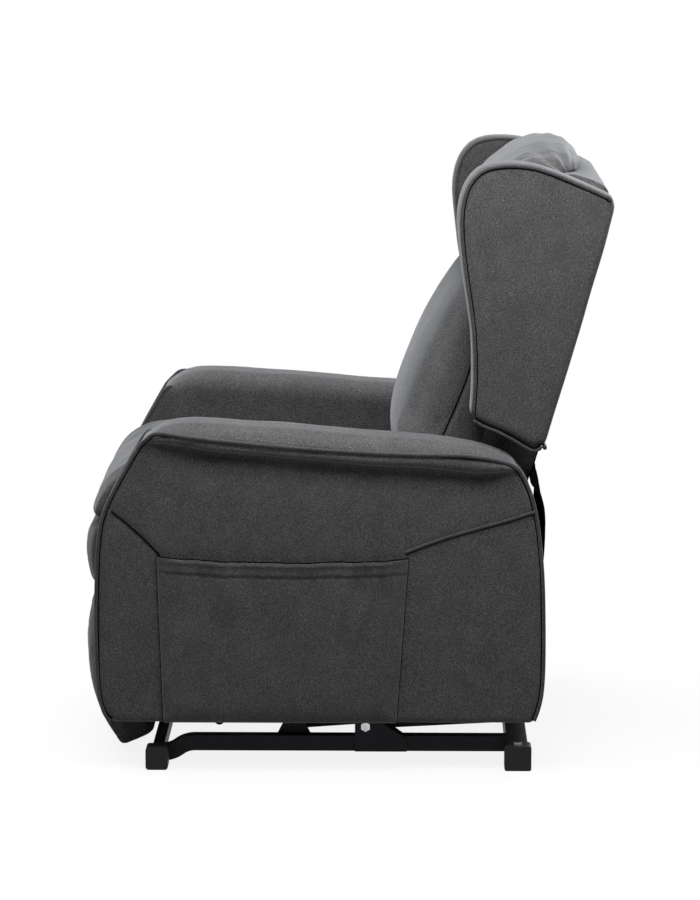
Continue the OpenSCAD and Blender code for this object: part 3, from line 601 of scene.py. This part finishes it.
def beside(path, centre, gap):
    """A path of (x, y, z) rows moved by `gap` towards (y, z) `centre`, square to its run."""
    along = np.gradient(path[:, 1:], axis=0)
    across = np.column_stack([along[:, 1], -along[:, 0]])
    across /= np.linalg.norm(across, axis=1)[:, None] + 1e-12
    if (across * (np.asarray(centre) - path[:, 1:])).sum() < 0:
        across = -across
    return np.column_stack([path[:, 0], path[:, 1:] + gap * across])


def seam(name, path, body, radius=SHADE_LINE_RADIUS):
    """A black tube along a seam or crevice: painted shade where two panels meet."""
    count = max(4, int(length(path) / (8 * MM)))
    tube(name, resample(path, count, False), radius, PAINTED_SEAM_SHADE, body, 6)


STITCH_PITCH = 7 * MM
STITCH_GAP = 0.35
STITCH_RADIUS = 0.45 * MM


def stitches(name, line, out, body):
    """A row of sewn stitches along a line: short threads that dip into the cloth at their ends."""
    run = np.concatenate([[0], np.cumsum(np.linalg.norm(np.diff(line, axis=0), axis=1))])
    verts, faces, sides = [], [], 6
    for k in range(int(run[-1] / STITCH_PITCH)):
        at = (k + np.linspace(0, 1 - STITCH_GAP, 5)) * STITCH_PITCH
        path = np.stack([np.interp(at, run, line[:, i]) for i in range(3)], 1)
        path += np.outer((0.3 - np.abs(np.linspace(-1, 1, 5)) ** 2) * 1.2 * MM, out)
        along = np.gradient(path, axis=0)
        along /= np.linalg.norm(along, axis=1)[:, None]
        for here, way in zip(path, along):
            side = np.cross(way, out)
            side /= np.linalg.norm(side)
            up = np.cross(side, way)
            verts += [here + STITCH_RADIUS * (math.cos(a) * side + math.sin(a) * up)
                      for a in np.linspace(0, 2 * math.pi, sides, endpoint=False)]
        first = len(verts) - 5 * sides
        for i in range(4):
            for m in range(sides):
                n = (m + 1) % sides
                faces.append([first + i * sides + m, first + i * sides + n,
                              first + (i + 1) * sides + n, first + (i + 1) * sides + m])
        faces.append([first + m for m in range(sides)][::-1])
        faces.append([first + 4 * sides + m for m in range(sides)])
    return piece(name, verts, faces, THREAD, body)


# ---- arms

ARM_NODES = ("arm_outer_panel", "arm_core", "arm_inner_panel", "arm_pad")
ARM_RIM = resample(section("arm_outer_panel_left", X_OUT - 15 * MM), 700)


def arm_edge(x, low, high, front):
    """The arm's front or rear edge from z low to high, bottom up, in the plane at x."""
    rows = ARM_RIM[(ARM_RIM[:, 0] < -0.356) if front else (ARM_RIM[:, 0] > 0.306)]
    rows = rows[(rows[:, 1] > low) & (rows[:, 1] < high)]
    return at_x(rows[np.argsort(rows[:, 1])], x)


# The lower edge of the pad on the arm's outer side, from front to rear
PAD_EDGE = mm((385, -352, 599), (391, -332, 611), (392, -282, 605), (392, -232, 599), (392, -181, 594),
              (392, -80, 585), (392, 43, 577), (392, 129, 574), (392, 194, 573), (391, 230, 570),
              (389, 260, 565), (385, 290, 556), (381, 305, 546))
# Where the piping of the front's inner edge ends, on the pad
PAD_INNER = mm((264, -355, 596), (268, -349, 597), (274, -343, 595))
# The upper and lower edge of the roll below the pad, (y, z)
ROLL_TOP = mm((-340, 604), (-300, 604), (-232, 597), (-131, 587), (43, 575), (144, 573), (194, 573), (230, 569),
              (260, 563), (285, 556), (301, 549))
ROLL_LOW = mm((-340, 598), (-300, 590), (-232, 577), (-131, 569), (43, 553), (144, 549), (194, 543), (230, 539),
              (260, 540), (285, 543), (301, 546))


def pad_roll(side, label):
    """The soft roll that hangs out below the pad's piping, gathered towards its front end."""
    angles = np.linspace(0, 2 * math.pi, 20, endpoint=False)
    rings = []
    for y, z_top in resample(ROLL_TOP, 150, False):
        z_low = np.interp(y, ROLL_LOW[:, 0], ROLL_LOW[:, 1])
        half = (z_top - z_low) / 2
        gather = 0.9 * MM * math.sin(y * 420) * math.exp(-(((y + 0.31) / 0.035) ** 2))
        wide = min(14.5 * MM, 1.35 * half) + gather
        rings.append(np.column_stack([side * (X_OUT - 0.5 * MM + wide * np.cos(angles)), np.full(20, y),
                                      (z_top + z_low) / 2 + (half + gather) * np.sin(angles)]))
    finish_soft(subdivide(loft("arm_pad_roll_" + label, rings)), (), "chassis")


def arm_piping(side, label):
    """Piping up the front, along the pad and down the rear, with a black tube of painted shade in the crevice beside
    it, and on the inner edge.
    """
    front = arm_edge(X_OUT - 2.5 * MM, 0.089, 0.588, True)
    rear = arm_edge(X_OUT - 2.5 * MM, 0.089, 0.538, False)[::-1]
    outer = np.vstack([front, curve(PAD_EDGE, 6), rear])
    inner = np.vstack([arm_edge(X_IN + 2.5 * MM, 0.35, 0.588, True), PAD_INNER])
    piping("arm_piping_outer_" + label, flip(outer, side), "chassis")
    # A black tube just beside the outer piping: painted shade in its crevice
    line = beside(resample(outer, 260, False), (-0.05, 0.3), PIPE + 0.5 * MM)
    line[:, 0] -= np.where(line[:, 0] > X_OUT, 2.0 * MM, -0.6 * MM)
    seam("arm_piping_shade_line_" + label, flip(line, side), "chassis")
    piping("arm_piping_inner_" + label, flip(inner, side), "chassis")


FRONT_SEAM = mm((380.5, -414, 470), (380.5, -390, 451), (380.5, -361, 425), (380.5, -340, 403), (380.5, -329, 391))
REAR_SEAM = mm((380, 106, 397), (380.5, 140, 411), (380.5, 183, 426), (380.5, 241, 443), (380.5, 285, 455),
               (380, 334, 471))


def arm_seams(side, label):
    """Black tubes of painted shade along the seams on the arm's outer side, and piping along the rear seam."""
    seam("arm_seam_shade_front_" + label, flip(FRONT_SEAM - (0.5 * MM, 0, 0), side), "chassis")
    seam("arm_seam_shade_side_" + label, flip(mm((380.5, -333, 388), (380.5, -325, 92)), side), "chassis")
    seam("arm_seam_shade_rear_" + label, flip(REAR_SEAM - (0.6 * MM, 0, 3.4 * MM), side), "chassis")
    piping("arm_piping_rear_" + label, flip(REAR_SEAM, side), "chassis", 2.8 * MM)


def under_roll(points):
    """How far each point lies below the roll's underside."""
    return np.interp(points[:, 1], ROLL_LOW[:, 0], ROLL_LOW[:, 1]) - points[:, 2]


def arms():
    """Both arms: one cover each over boards, core and pad, with its roll, piping and seams."""
    cover = remesh(solid_copy("arm_cover_left", [n + "_left" for n in ARM_NODES]), 4.5 * MM, 4)
    verts = coords(cover)
    # The cloth runs over the pad and down the inner side without a seam
    line = np.interp(verts[:, 1], (-0.36, 0.30), (0.598, 0.552))
    inner = np.clip((0.300 - verts[:, 0]) / 0.02, 0, 1) * np.exp(-(((verts[:, 2] - line) / 0.03) ** 2))
    ease_where(cover, inner * (verts[:, 1] > -0.35), 60)
    verts = coords(cover)
    top = (normals(cover)[:, 2] > 0.1) & (verts[:, 2] > line + 4 * MM)
    swell(cover, top, -2.5 * MM)
    uneven(cover, 0.8 * MM, 0.12, 3)
    # The side is drawn in under the roll
    verts = coords(cover)
    down = under_roll(verts)
    drawn = np.clip((down + 6 * MM) / (12 * MM), 0, 1) * np.exp(-((np.clip(down, 0, None) / (42 * MM)) ** 2))
    drawn *= np.clip((verts[:, 1] + 0.345) / 0.05, 0, 1) * np.clip((0.30 - verts[:, 1]) / 0.06, 0, 1)
    verts[:, 0] -= 13 * MM * drawn * (verts[:, 0] > X_OUT - 14 * MM) * (1 + 0.2 * ripple(verts, 0.05, 4))
    set_coords(cover, verts)
    groove(cover, FRONT_SEAM, 1.6 * MM, 5 * MM)
    groove(cover, REAR_SEAM, 1.0 * MM, 7 * MM)
    for label, side in SIDES.items():
        here = cover if side > 0 else mirrored(cover, "arm_cover_right")
        finish_soft(here, [n + "_" + label for n in ARM_NODES], "chassis")
        pad_roll(side, label)
        arm_piping(side, label)
        arm_seams(side, label)


# ---- pocket

# Its corners, (y, z), counter-clockwise from the lower front
POCKET = mm((-325, 88), (90, 88), (111, 386), (-335, 389))
POCKET_WIDTH, POCKET_HEIGHT = 0.43, 0.3
POCKET_ROUND = 40 * MM
POCKET_BULGE = 13 * MM
POCKET_SHEET = 2.2 * MM
HEM = 26 * MM
# Place along the pocket, lean towards the rear on the way down, width and height in mm
POCKET_FOLDS = [(0.10, 0.03, 9, 2.5), (0.27, -0.05, 10, 4.5), (0.33, -0.10, 8, 3.5), (0.52, 0.02, 11, 4.0),
                (0.60, -0.03, 8, 2.5), (0.78, -0.12, 12, 4.5), (0.90, -0.20, 10, 4.5), (0.94, -0.05, 7, 2.5)]


def two_layers(rows, columns):
    """Faces of a closed thin sheet over a grid: `rows * columns` outer points, then as many inner ones."""
    count = rows * columns
    faces = []
    for i in range(rows - 1):
        for k in range(columns - 1):
            a, b, c, d = i * columns + k, i * columns + k + 1, (i + 1) * columns + k + 1, (i + 1) * columns + k
            faces += [(a, b, c, d), (count + a, count + d, count + c, count + b)]
    rim = ([(0, k) for k in range(columns)] + [(i, columns - 1) for i in range(1, rows)]
           + [(rows - 1, k) for k in range(columns - 2, -1, -1)] + [(i, 0) for i in range(rows - 2, 0, -1)])
    ids = [i * columns + k for i, k in rim]
    return faces + [(a, count + a, count + b, b) for a, b in zip(ids, ids[1:] + ids[:1])]


def pocket():
    """A cloth patch sewn on along three edges, with a stitched hem along its open top."""
    rows, columns = 90, 130
    # s runs from the front to the rear, and t from the bottom to the mouth, both from 0 to 1
    s = (1 - np.cos(np.linspace(0, math.pi, columns))) / 2
    t = np.sin(np.linspace(0, math.pi / 2, rows)) ** 1.1
    s, t = np.meshgrid(s, t)
    low = POCKET[0] + s[..., None] * (POCKET[1] - POCKET[0])
    high = POCKET[3] + s[..., None] * (POCKET[2] - POCKET[3])
    place = low + t[..., None] * (high - low)
    place[..., 1] -= 8 * MM * t * np.sin(math.pi * s)
    from_side = np.minimum(s, 1 - s) * POCKET_WIDTH
    from_low = t * POCKET_HEIGHT
    edge = 1 - np.clip(np.minimum(from_side, from_low) / POCKET_ROUND, 0, 1)
    out = POCKET_BULGE * np.sqrt(np.clip(1 - edge**2, 0, 1))
    inside = 1 - edge
    free = inside * t
    flat = place.reshape(-1, 2)
    points = np.column_stack([np.zeros(len(flat)), flat])
    soft_folds = ripple(points, 0.1, 21, (1, 0.55, 1.6)).reshape(s.shape)
    out += free * (2.2 * MM * np.sin(2 * math.pi * (3.4 * s + 0.15) + 1.2 * t) + 3.0 * MM * soft_folds)
    # Slack folds that run down from the hem
    for across, lean, wide, tall in POCKET_FOLDS:
        centre = across + lean * (1 - t)
        out += free * tall * MM * np.exp(-(((s - centre) * POCKET_WIDTH / (wide * MM)) ** 2)) * (0.35 + 0.65 * t)
    # The hem is two layers thick and a little wavy, its stitches draw it in, and its turned edge stands out
    below = (high[..., 1] - 8 * MM * np.sin(math.pi * s)) - place[..., 1]
    hem = np.clip((HEM + 2 * MM - below) / (2 * MM), 0, 1) * inside
    out += hem * (1.6 * MM + 0.8 * MM * np.sin(place[..., 0] * 260 + 3 * np.sin(place[..., 0] * 31)))
    out -= 2.4 * MM * np.exp(-(((below - HEM) / (2.6 * MM)) ** 2)) * inside
    out += 2.2 * MM * np.exp(-(((below - 5 * MM) / (4.5 * MM)) ** 2)) * inside
    base = X_OUT + 0.8 * MM
    outer = np.column_stack([base + POCKET_SHEET + out.ravel(), flat])
    inner = np.column_stack([base + out.ravel(), flat])
    patch = piece("pocket_cloth", np.vstack([outer, inner]), two_layers(rows, columns), CLOTH, "chassis",
                  ["side_pocket"])
    lines = outer.reshape(rows, columns, 3)
    sewn_row = int(np.abs(below[:, columns // 2] - HEM + 2 * MM).argmin())
    sewn = stitches("pocket_hem_stitches", lines[sewn_row] + (0.1 * MM, 0, 0), (1, 0, 0), "chassis")
    # A black tube just above the hem's edge: painted shade in the pocket's mouth
    seam("pocket_mouth_shade", lines[-1] + (-4.5 * MM, 0, 0.8 * MM), "chassis")
    # Black tubes along the sewn side edges: painted shade in the folds there
    for label, corner in (("front", 0), ("rear", 1)):
        up = POCKET[3 - corner] - POCKET[corner]
        edge_line = POCKET[corner] + np.linspace(0, 1, 20)[:, None] * up
        seam("pocket_edge_shade_" + label, at_x(edge_line, X_OUT + 1.6 * MM), "chassis")


# ---- seat and footrest

# Front and rear of the line that the seat cushion's underside follows, (y, z)
SEAT_FRONT = (-0.36, 0.433)
SEAT_REAR = (0.092, 0.382)
# Rear of the part of each footrest pad that can swell, y
FOOT_BOARD = -0.402


def held_below(place, front, rear):
    """True where a point is no higher than a little over the line from front to rear."""
    line = front[1] + (place[:, 1] - front[0]) * (rear[1] - front[1]) / (rear[0] - front[0])
    return place[:, 2] < line + 6 * MM


def seat():
    """The seat cushion and both footrest pads."""
    cushion = remesh(solid_copy("seat_cushion_cover", ["seat_cushion"]), 6 * MM, 4)
    puff(cushion, held_below(coords(cushion), SEAT_FRONT, SEAT_REAR), 3.5, 10 * MM)
    groove(cushion, mm((-250, -300, 527), (0, -300, 530), (250, -300, 527)), 3 * MM, 7 * MM)
    uneven(cushion, 1.2 * MM, 0.14, 7)
    finish_soft(subdivide(cushion), ["seat_cushion"], "chassis")
    for name, seed in (("footrest_upper_pad", 11), ("footrest_lower_pad", 12)):
        pad = remesh(solid_copy(name + "_cover", [name]), 5 * MM, 4)
        puff(pad, coords(pad)[:, 1] > FOOT_BOARD, 3.0, 6 * MM)
        uneven(pad, 1.0 * MM, 0.12, seed)
        finish_soft(pad, [name], "footrest")


# ---- back

# Lean of the back's rear face, and a point (y, z) low on it
LEAN_SIN, LEAN_COS = math.sin(math.radians(15.7)), math.cos(math.radians(15.7))
BACK_FOOT = (0.353, 0.588)
# Front of the back's posts, from the rear face
POST_FRONT = 0.078


def on_back(path):
    """Distances of (y, z) rows from the back's rear face, and up along it."""
    away = np.asarray(path) - BACK_FOOT
    return np.column_stack([-away[:, 0] * LEAN_COS + away[:, 1] * LEAN_SIN,
                            away[:, 0] * LEAN_SIN + away[:, 1] * LEAN_COS])


def creases(points, knot, reach, count, depth, seed):
    """Folds that fan out from a knot at (x, y, z), in planes across the chair's side."""
    rng = np.random.default_rng(seed)
    away = points - knot
    angle = np.arctan2(away[:, 2], away[:, 1])
    far = np.linalg.norm(away, axis=1)
    wave = np.sin(count * angle + 1.3 * np.sin(2.3 * angle + rng.uniform(0, 6)) + rng.uniform(0, 6))
    return depth * wave * np.exp(-((far / reach) ** 2)) * np.clip(far / 0.03, 0, 1)


# The seam between the back cushion's front and its side panels
SIDE_SEAM = mm((256, 232, 751), (256, 221, 712), (256, 211, 680), (256, 196, 642), (256, 186, 619), (256, 171, 584),
               (256, 160, 558))
# The turned lip along a wing's lower edge
WING_LIP = mm((333, 226, 627), (335.5, 244, 616.5), (335.5, 267, 607.5), (335.5, 294, 593.5), (335.5, 314, 581.5),
              (335.5, 329, 573.5), (335.5, 341, 574.5), (335, 347, 581))
LOCK_KNOB = mm((310, 352, 579), (330, 352, 579), (341, 352, 579))
# The power of the superellipse that the cushion's cross-section follows
CROWN_POWER = 2.4


def crown(verts):
    """Turns the cushion's front round to its sides in one full curve that ends at the side seams."""
    place = on_back(verts[:, 1:])
    outline = on_back(resample(section("back_cushion", 1 * MM), 900))
    levels = np.linspace(-0.05, 0.38, 50)
    front = np.array([outline[np.abs(outline[:, 1] - v) < 0.012, 0].max() for v in levels])
    sewn = on_back(SIDE_SEAM[::-1, 1:])
    back = np.interp(place[:, 1], sewn[:, 1], sewn[:, 0])
    depth = np.interp(place[:, 1], levels, front) - back
    a = (place[:, 0] - back) / depth
    b = np.abs(verts[:, 0]) / (X_IN - 6 * MM)
    far = np.hypot(np.clip(a, 0, None), b)
    turn = np.arctan2(np.clip(a, 0, None), b)
    will = (np.cos(turn) ** CROWN_POWER + np.sin(turn) ** CROWN_POWER) ** (-1 / CROWN_POWER)
    fade = np.clip((0.34 - place[:, 1]) / 0.08, 0, 1) * (a > 0) * (far > 0.8)
    fade *= np.clip((place[:, 1] + 0.078) / 0.04, 0, 1)
    ratio = 1 + (np.minimum(will / np.maximum(far, 0.1), 1) - 1) * fade
    pull = (1 - ratio) * np.clip(a, 0, None) * depth
    out = verts.copy()
    out[:, 0] *= ratio
    out[:, 1] += pull * LEAN_COS
    out[:, 2] -= pull * LEAN_SIN
    return out


def back_cushion():
    """The back's cushion, crowned, with a seam down each side."""
    cushion = remesh(solid_copy("back_cushion_cover", ["back_cushion"]), 6 * MM, 4)
    set_coords(cushion, crown(coords(cushion)))
    ease_where(cushion, np.ones(len(cushion.data.vertices)), 10)
    puff(cushion, on_back(coords(cushion)[:, 1:])[:, 0] < POST_FRONT + 8 * MM, 3.0, 4 * MM)
    uneven(cushion, 1.4 * MM, 0.16, 9)
    cushion = subdivide(cushion)
    for label, side in SIDES.items():
        line = resample(curve(flip(SIDE_SEAM, side)), 60, False)
        groove(cushion, line, 3.5 * MM, 6 * MM)
        # A black tube in each side seam's groove: painted shade
        seam("back_cushion_seam_shade_" + label, line - (side * 1.2 * MM, 0, 0), "backrest")
    finish_soft(cushion, ["back_cushion"], "backrest")


def head_pillow():
    """The pillow, flattened a little on top, with folds that gather at both ends."""
    pillow = remesh(solid_copy("head_pillow_cover", ["head_pillow"]), 5 * MM, 4)
    puff(pillow, normals(pillow)[:, 1] > 0.55, 3.5, 5 * MM)
    pillow = subdivide(pillow)
    verts = coords(pillow)
    verts[:, 2] -= 5 * MM * np.clip((verts[:, 2] - 1.03) / 0.07, 0, 1)
    set_coords(pillow, verts)
    fold = sum(creases(verts, np.array((x, 0.40, 1.045)), 0.14, 15, 2.6 * MM, seed)
               for x, seed in ((0.245, 31), (-0.245, 32)))
    push(pillow, fold + 1.2 * MM * ripple(verts, 0.1, 13))
    finish_soft(pillow, ["head_pillow"], "backrest")


# Outline of the top's closing panel: distance from the rear face, and up along it
TOP_PANEL = mm((14, 438), (10, 450), (20, 459), (45, 464), (75, 465), (96, 460), (98, 438))


def rear_cover():
    """The padded rear cover, the panel that closes the top and the cloth over the cover's sides."""
    cover = remesh(solid_copy("back_cover", ["back_cover_panel"]), 5 * MM, 3)
    uneven(cover, 0.8 * MM, 0.15, 15)
    finish_soft(cover, ["back_cover_panel"], "backrest")
    u, v = TOP_PANEL.T
    closing = BACK_FOOT + np.column_stack([-u * LEAN_COS + v * LEAN_SIN, u * LEAN_SIN + v * LEAN_COS])
    top = remesh(loft("back_top_cover", [at_x(closing, x) for x in (-COVER_EDGE, COVER_EDGE)]), 4 * MM, 4)
    uneven(top, 0.8 * MM, 0.08, 19)
    finish_soft(top, (), "backrest")
    flank = section("back_cover_panel", COVER_EDGE - 0.5 * MM)
    for label, side in SIDES.items():
        layers = [at_x(flank, side * x) for x in (COVER_EDGE - 1.2 * MM, COVER_EDGE + 0.3 * MM)]
        dress(loft("back_side_cloth_" + label, layers[::side]), CLOTH, "backrest")


def wings():
    """Both wings with their piping, the lip along the lower edge and the lock's knobs behind it."""
    wing = remesh(solid_copy("wing_left_cover", ["wing_left"]), 5 * MM, 4)
    uneven(wing, 0.8 * MM, 0.12, 17)
    lip = curve(WING_LIP)
    groove(wing, beside(lip, (0.3, 0.8), 6 * MM), 1.2 * MM, 5 * MM)
    rim = resample(section("wing_left", WING_OUT - 12 * MM), 300)
    rim = rim - 4.6 * MM * outward(rim)
    # Only the front and the top have piping, so the run starts after the gap
    upper = rim[(on_back(rim)[:, 1] > 12 * MM) & (on_back(rim)[:, 0] > 9 * MM)]
    start = int(np.linalg.norm(np.diff(upper, axis=0), axis=1).argmax()) + 1
    upper = np.roll(upper, -start, axis=0)
    # Paths for black tubes beside the piping and the lip: painted shade in their crevices
    line = beside(at_x(upper, WING_OUT - 0.6 * MM), (0.3, 0.85), PIPE + 0.4 * MM)
    lip_shade_line = beside(lip, (0.3, 0.8), 4.0 * MM) - (0.8 * MM, 0, 0)
    for label, side in SIDES.items():
        here = wing if side > 0 else mirrored(wing, "wing_right_cover")
        finish_soft(here, ["wing_" + label], "backrest")
        piping("wing_piping_outer_" + label, flip(at_x(upper, WING_OUT - 1.4 * MM), side), "backrest")
        piping("wing_piping_inner_" + label, flip(at_x(upper, X_IN + 3.4 * MM), side), "backrest")
        # Black tubes of painted shade beside the outer piping and beside the lip
        seam("wing_piping_shade_line_" + label, flip(line, side), "backrest")
        piping("wing_lip_" + label, flip(lip, side), "backrest", 3.0 * MM)
        seam("wing_lip_shade_line_" + label, flip(lip_shade_line, side), "backrest", 2.6 * MM)
        knob = tube("back_lock_knob_" + label, flip(LOCK_KNOB, side), 3.8 * MM, PLASTIC, "backrest",
                    16)
        if side > 0:
            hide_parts("back_lock_knobs")


# The cloth over the rear: down the panel, and up in a slack fold to the back's lower edge, from the bottom, (y, z)
REAR_CLOTH = np.vstack([mm((344.4, 89), (344.8, 200), (344.8, 295)),
                        curve(mm((345.4, 306), (351, 330), (356, 362), (358, 405), (357.5, 436), (354.5, 457),
                                 (349, 477), (340.5, 494), (332, 503), (329.5, 511), (331.5, 520), (335.5, 531),
                                 (341.5, 552), (346, 566)), 6)])
# Half its width between the arms, and above them on the back
CLOTH_LOW, CLOTH_HIGH = 0.2912, COVER_EDGE


def rear_cloth():
    """The lining over the rear, slack between the chassis and the back."""
    rows = resample(REAR_CLOTH, 110, False)
    columns = np.linspace(-1, 1, 121)
    half = np.interp(rows[:, 1], (0.50, 0.53), (CLOTH_LOW, CLOTH_HIGH))
    flat = np.array([(c * h, y, z) for (y, z), h in zip(rows, half) for c in columns])
    free = np.clip((flat[:, 2] - 0.30) / 0.05, 0, 1) * np.clip((0.495 - flat[:, 2]) / 0.05, 0, 1)
    hung = np.sin(flat[:, 0] * 46 + 1.5 * np.sin(flat[:, 0] * 17)) * 2.2 * MM
    hung += 1.6 * MM * ripple(flat, 0.12, 41, (0.6, 1, 2))
    slack = 0.5 * MM * (1 + ripple(flat, 0.2, 42))
    flat[:, 1] += free * (hung - 1 * MM) + (1 - free) * slack * (flat[:, 2] < 0.3)
    # The outer layer faces the rear here, so each face runs the other way round
    faces = [face[:1] + face[:0:-1] for face in two_layers(len(rows), len(columns))]
    mesh = bpy.data.meshes.new("rear_cloth")
    mesh.from_pydata([tuple(v) for v in np.vstack([flat, flat - (0, 1.2 * MM, 0)])], [], faces)
    cloth = add_object("rear_cloth", mesh)
    mesh.materials.append(LINING)
    for polygon in mesh.polygons:
        polygon.use_smooth = True
    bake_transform(cloth)
    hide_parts("rear_panel", "rear_flap")


arms()
pocket()
seat()
back_cushion()
head_pillow()
rear_cover()
wings()
rear_cloth()

# ---------------------------------------------------------------- studio

# Name, place, size, power, colour
LAMPS = [("lamp_top", (-0.25, -1.55, 6.0), (5.4, 5.4), 430, (0.975, 0.99, 1.0)),
         ("lamp_side", (0.98, 0.28, 1.8), (1.2, 0.9), 20.5, (0.985, 0.99, 1.0)),
         ("lamp_back", (-2.6, 1.3, 2.1), (2.2, 2.0), 55, (0.97, 0.98, 1.0))]
WORLD_LEVEL = 0.09
FLOOR_BOUNCE = (0.25, 0.25, 0.25, 1)
FLOOR_WHITE = 0.87
CAMERA_PLACE = (6.63, 0.0933, 1.6226)
CAMERA_PITCH = 9.4623
CAMERA_YAW = 0.7849
CAMERA_LENS = 144.0


def seen(tree):
    """1 for a ray from the camera or off a mirror or through glass, and 0 for a ray that lights something."""
    rays = tree.nodes.new("ShaderNodeLightPath")
    total = rays.outputs["Is Camera Ray"]
    for kind in ("Is Glossy Ray", "Is Transmission Ray"):
        larger = tree.nodes.new("ShaderNodeMath")
        larger.operation = "MAXIMUM"
        tree.links.new(total, larger.inputs[0])
        tree.links.new(rays.outputs[kind], larger.inputs[1])
        total = larger.outputs[0]
    return total


def studio():
    """White floor and backdrop, soft lamps, and the camera at the photograph's place."""
    world = bpy.data.worlds.new("studio")
    bpy.context.scene.world = world
    world.use_nodes = True
    tree = world.node_tree
    sky = tree.nodes["Background"]
    sky.inputs["Color"].default_value = (1, 1, 1, 1)
    sky.inputs["Strength"].default_value = WORLD_LEVEL
    white = tree.nodes.new("ShaderNodeBackground")
    white.inputs["Color"].default_value = (1, 1, 1, 1)
    pick = tree.nodes.new("ShaderNodeMixShader")
    tree.links.new(seen(tree), pick.inputs[0])
    tree.links.new(sky.outputs[0], pick.inputs[1])
    tree.links.new(white.outputs[0], pick.inputs[2])
    tree.links.new(pick.outputs[0], tree.nodes["World Output"].inputs["Surface"])

    mesh = bpy.data.meshes.new("studio_floor")
    mesh.from_pydata([(-9, -9, 0), (9, -9, 0), (9, 9, 0), (-9, 9, 0)], [], [(0, 1, 2, 3)])
    floor = add_object("studio_floor", mesh)
    m = Nodes("white floor")
    shown = seen(m.tree)
    m.set(Base_Color=m.mix(shown, FLOOR_BOUNCE, (0.9, 0.9, 0.9, 1)), Roughness=0.95, Specular_IOR_Level=0.0)
    # The floor itself, with the shadow, near the chair, and even white beyond
    glow = m.add("ShaderNodeEmission", {"Color": (1, 1, 1, 1), "Strength": 1.0})
    away = m.add("ShaderNodeVectorMath", {0: m.place}, operation="LENGTH").outputs["Value"]
    away = m.add("ShaderNodeMapRange", {"Value": away, "From Min": 0.75, "From Max": 1.5},
                 interpolation_type="SMOOTHSTEP").outputs[0]
    mixer = m.add("ShaderNodeMixShader")
    m.put(mixer.inputs[0], m.maths("MULTIPLY", shown, m.maths("MAXIMUM", away, FLOOR_WHITE)))
    m.put(mixer.inputs[1], m.shader.outputs[0])
    m.put(mixer.inputs[2], glow.outputs[0])
    m.put(m.tree.nodes["Material Output"].inputs["Surface"], mixer.outputs[0])
    floor.data.materials.append(m.material)

    for name, place, size, power, colour in LAMPS:
        lamp = bpy.data.lights.new(name, "AREA")
        lamp.shape = "RECTANGLE"
        lamp.size, lamp.size_y = size
        lamp.energy = power
        lamp.color = colour
        obj = add_object(name, lamp)
        obj.location = place
        obj.rotation_mode = "QUATERNION"
        obj.rotation_quaternion = (Vector((0, 0, 0.55)) - Vector(place)).to_track_quat("-Z", "Y")
        obj.visible_camera = False

    lens = bpy.data.cameras.new("camera")
    lens.sensor_width = 36
    lens.lens = CAMERA_LENS
    camera = add_object("camera", lens)
    camera.location = CAMERA_PLACE
    camera.rotation_euler = (math.radians(90 - CAMERA_PITCH), 0, math.radians(90 + CAMERA_YAW))
    bpy.context.scene.camera = camera
    bpy.context.scene.view_settings.view_transform = "Standard"


studio()
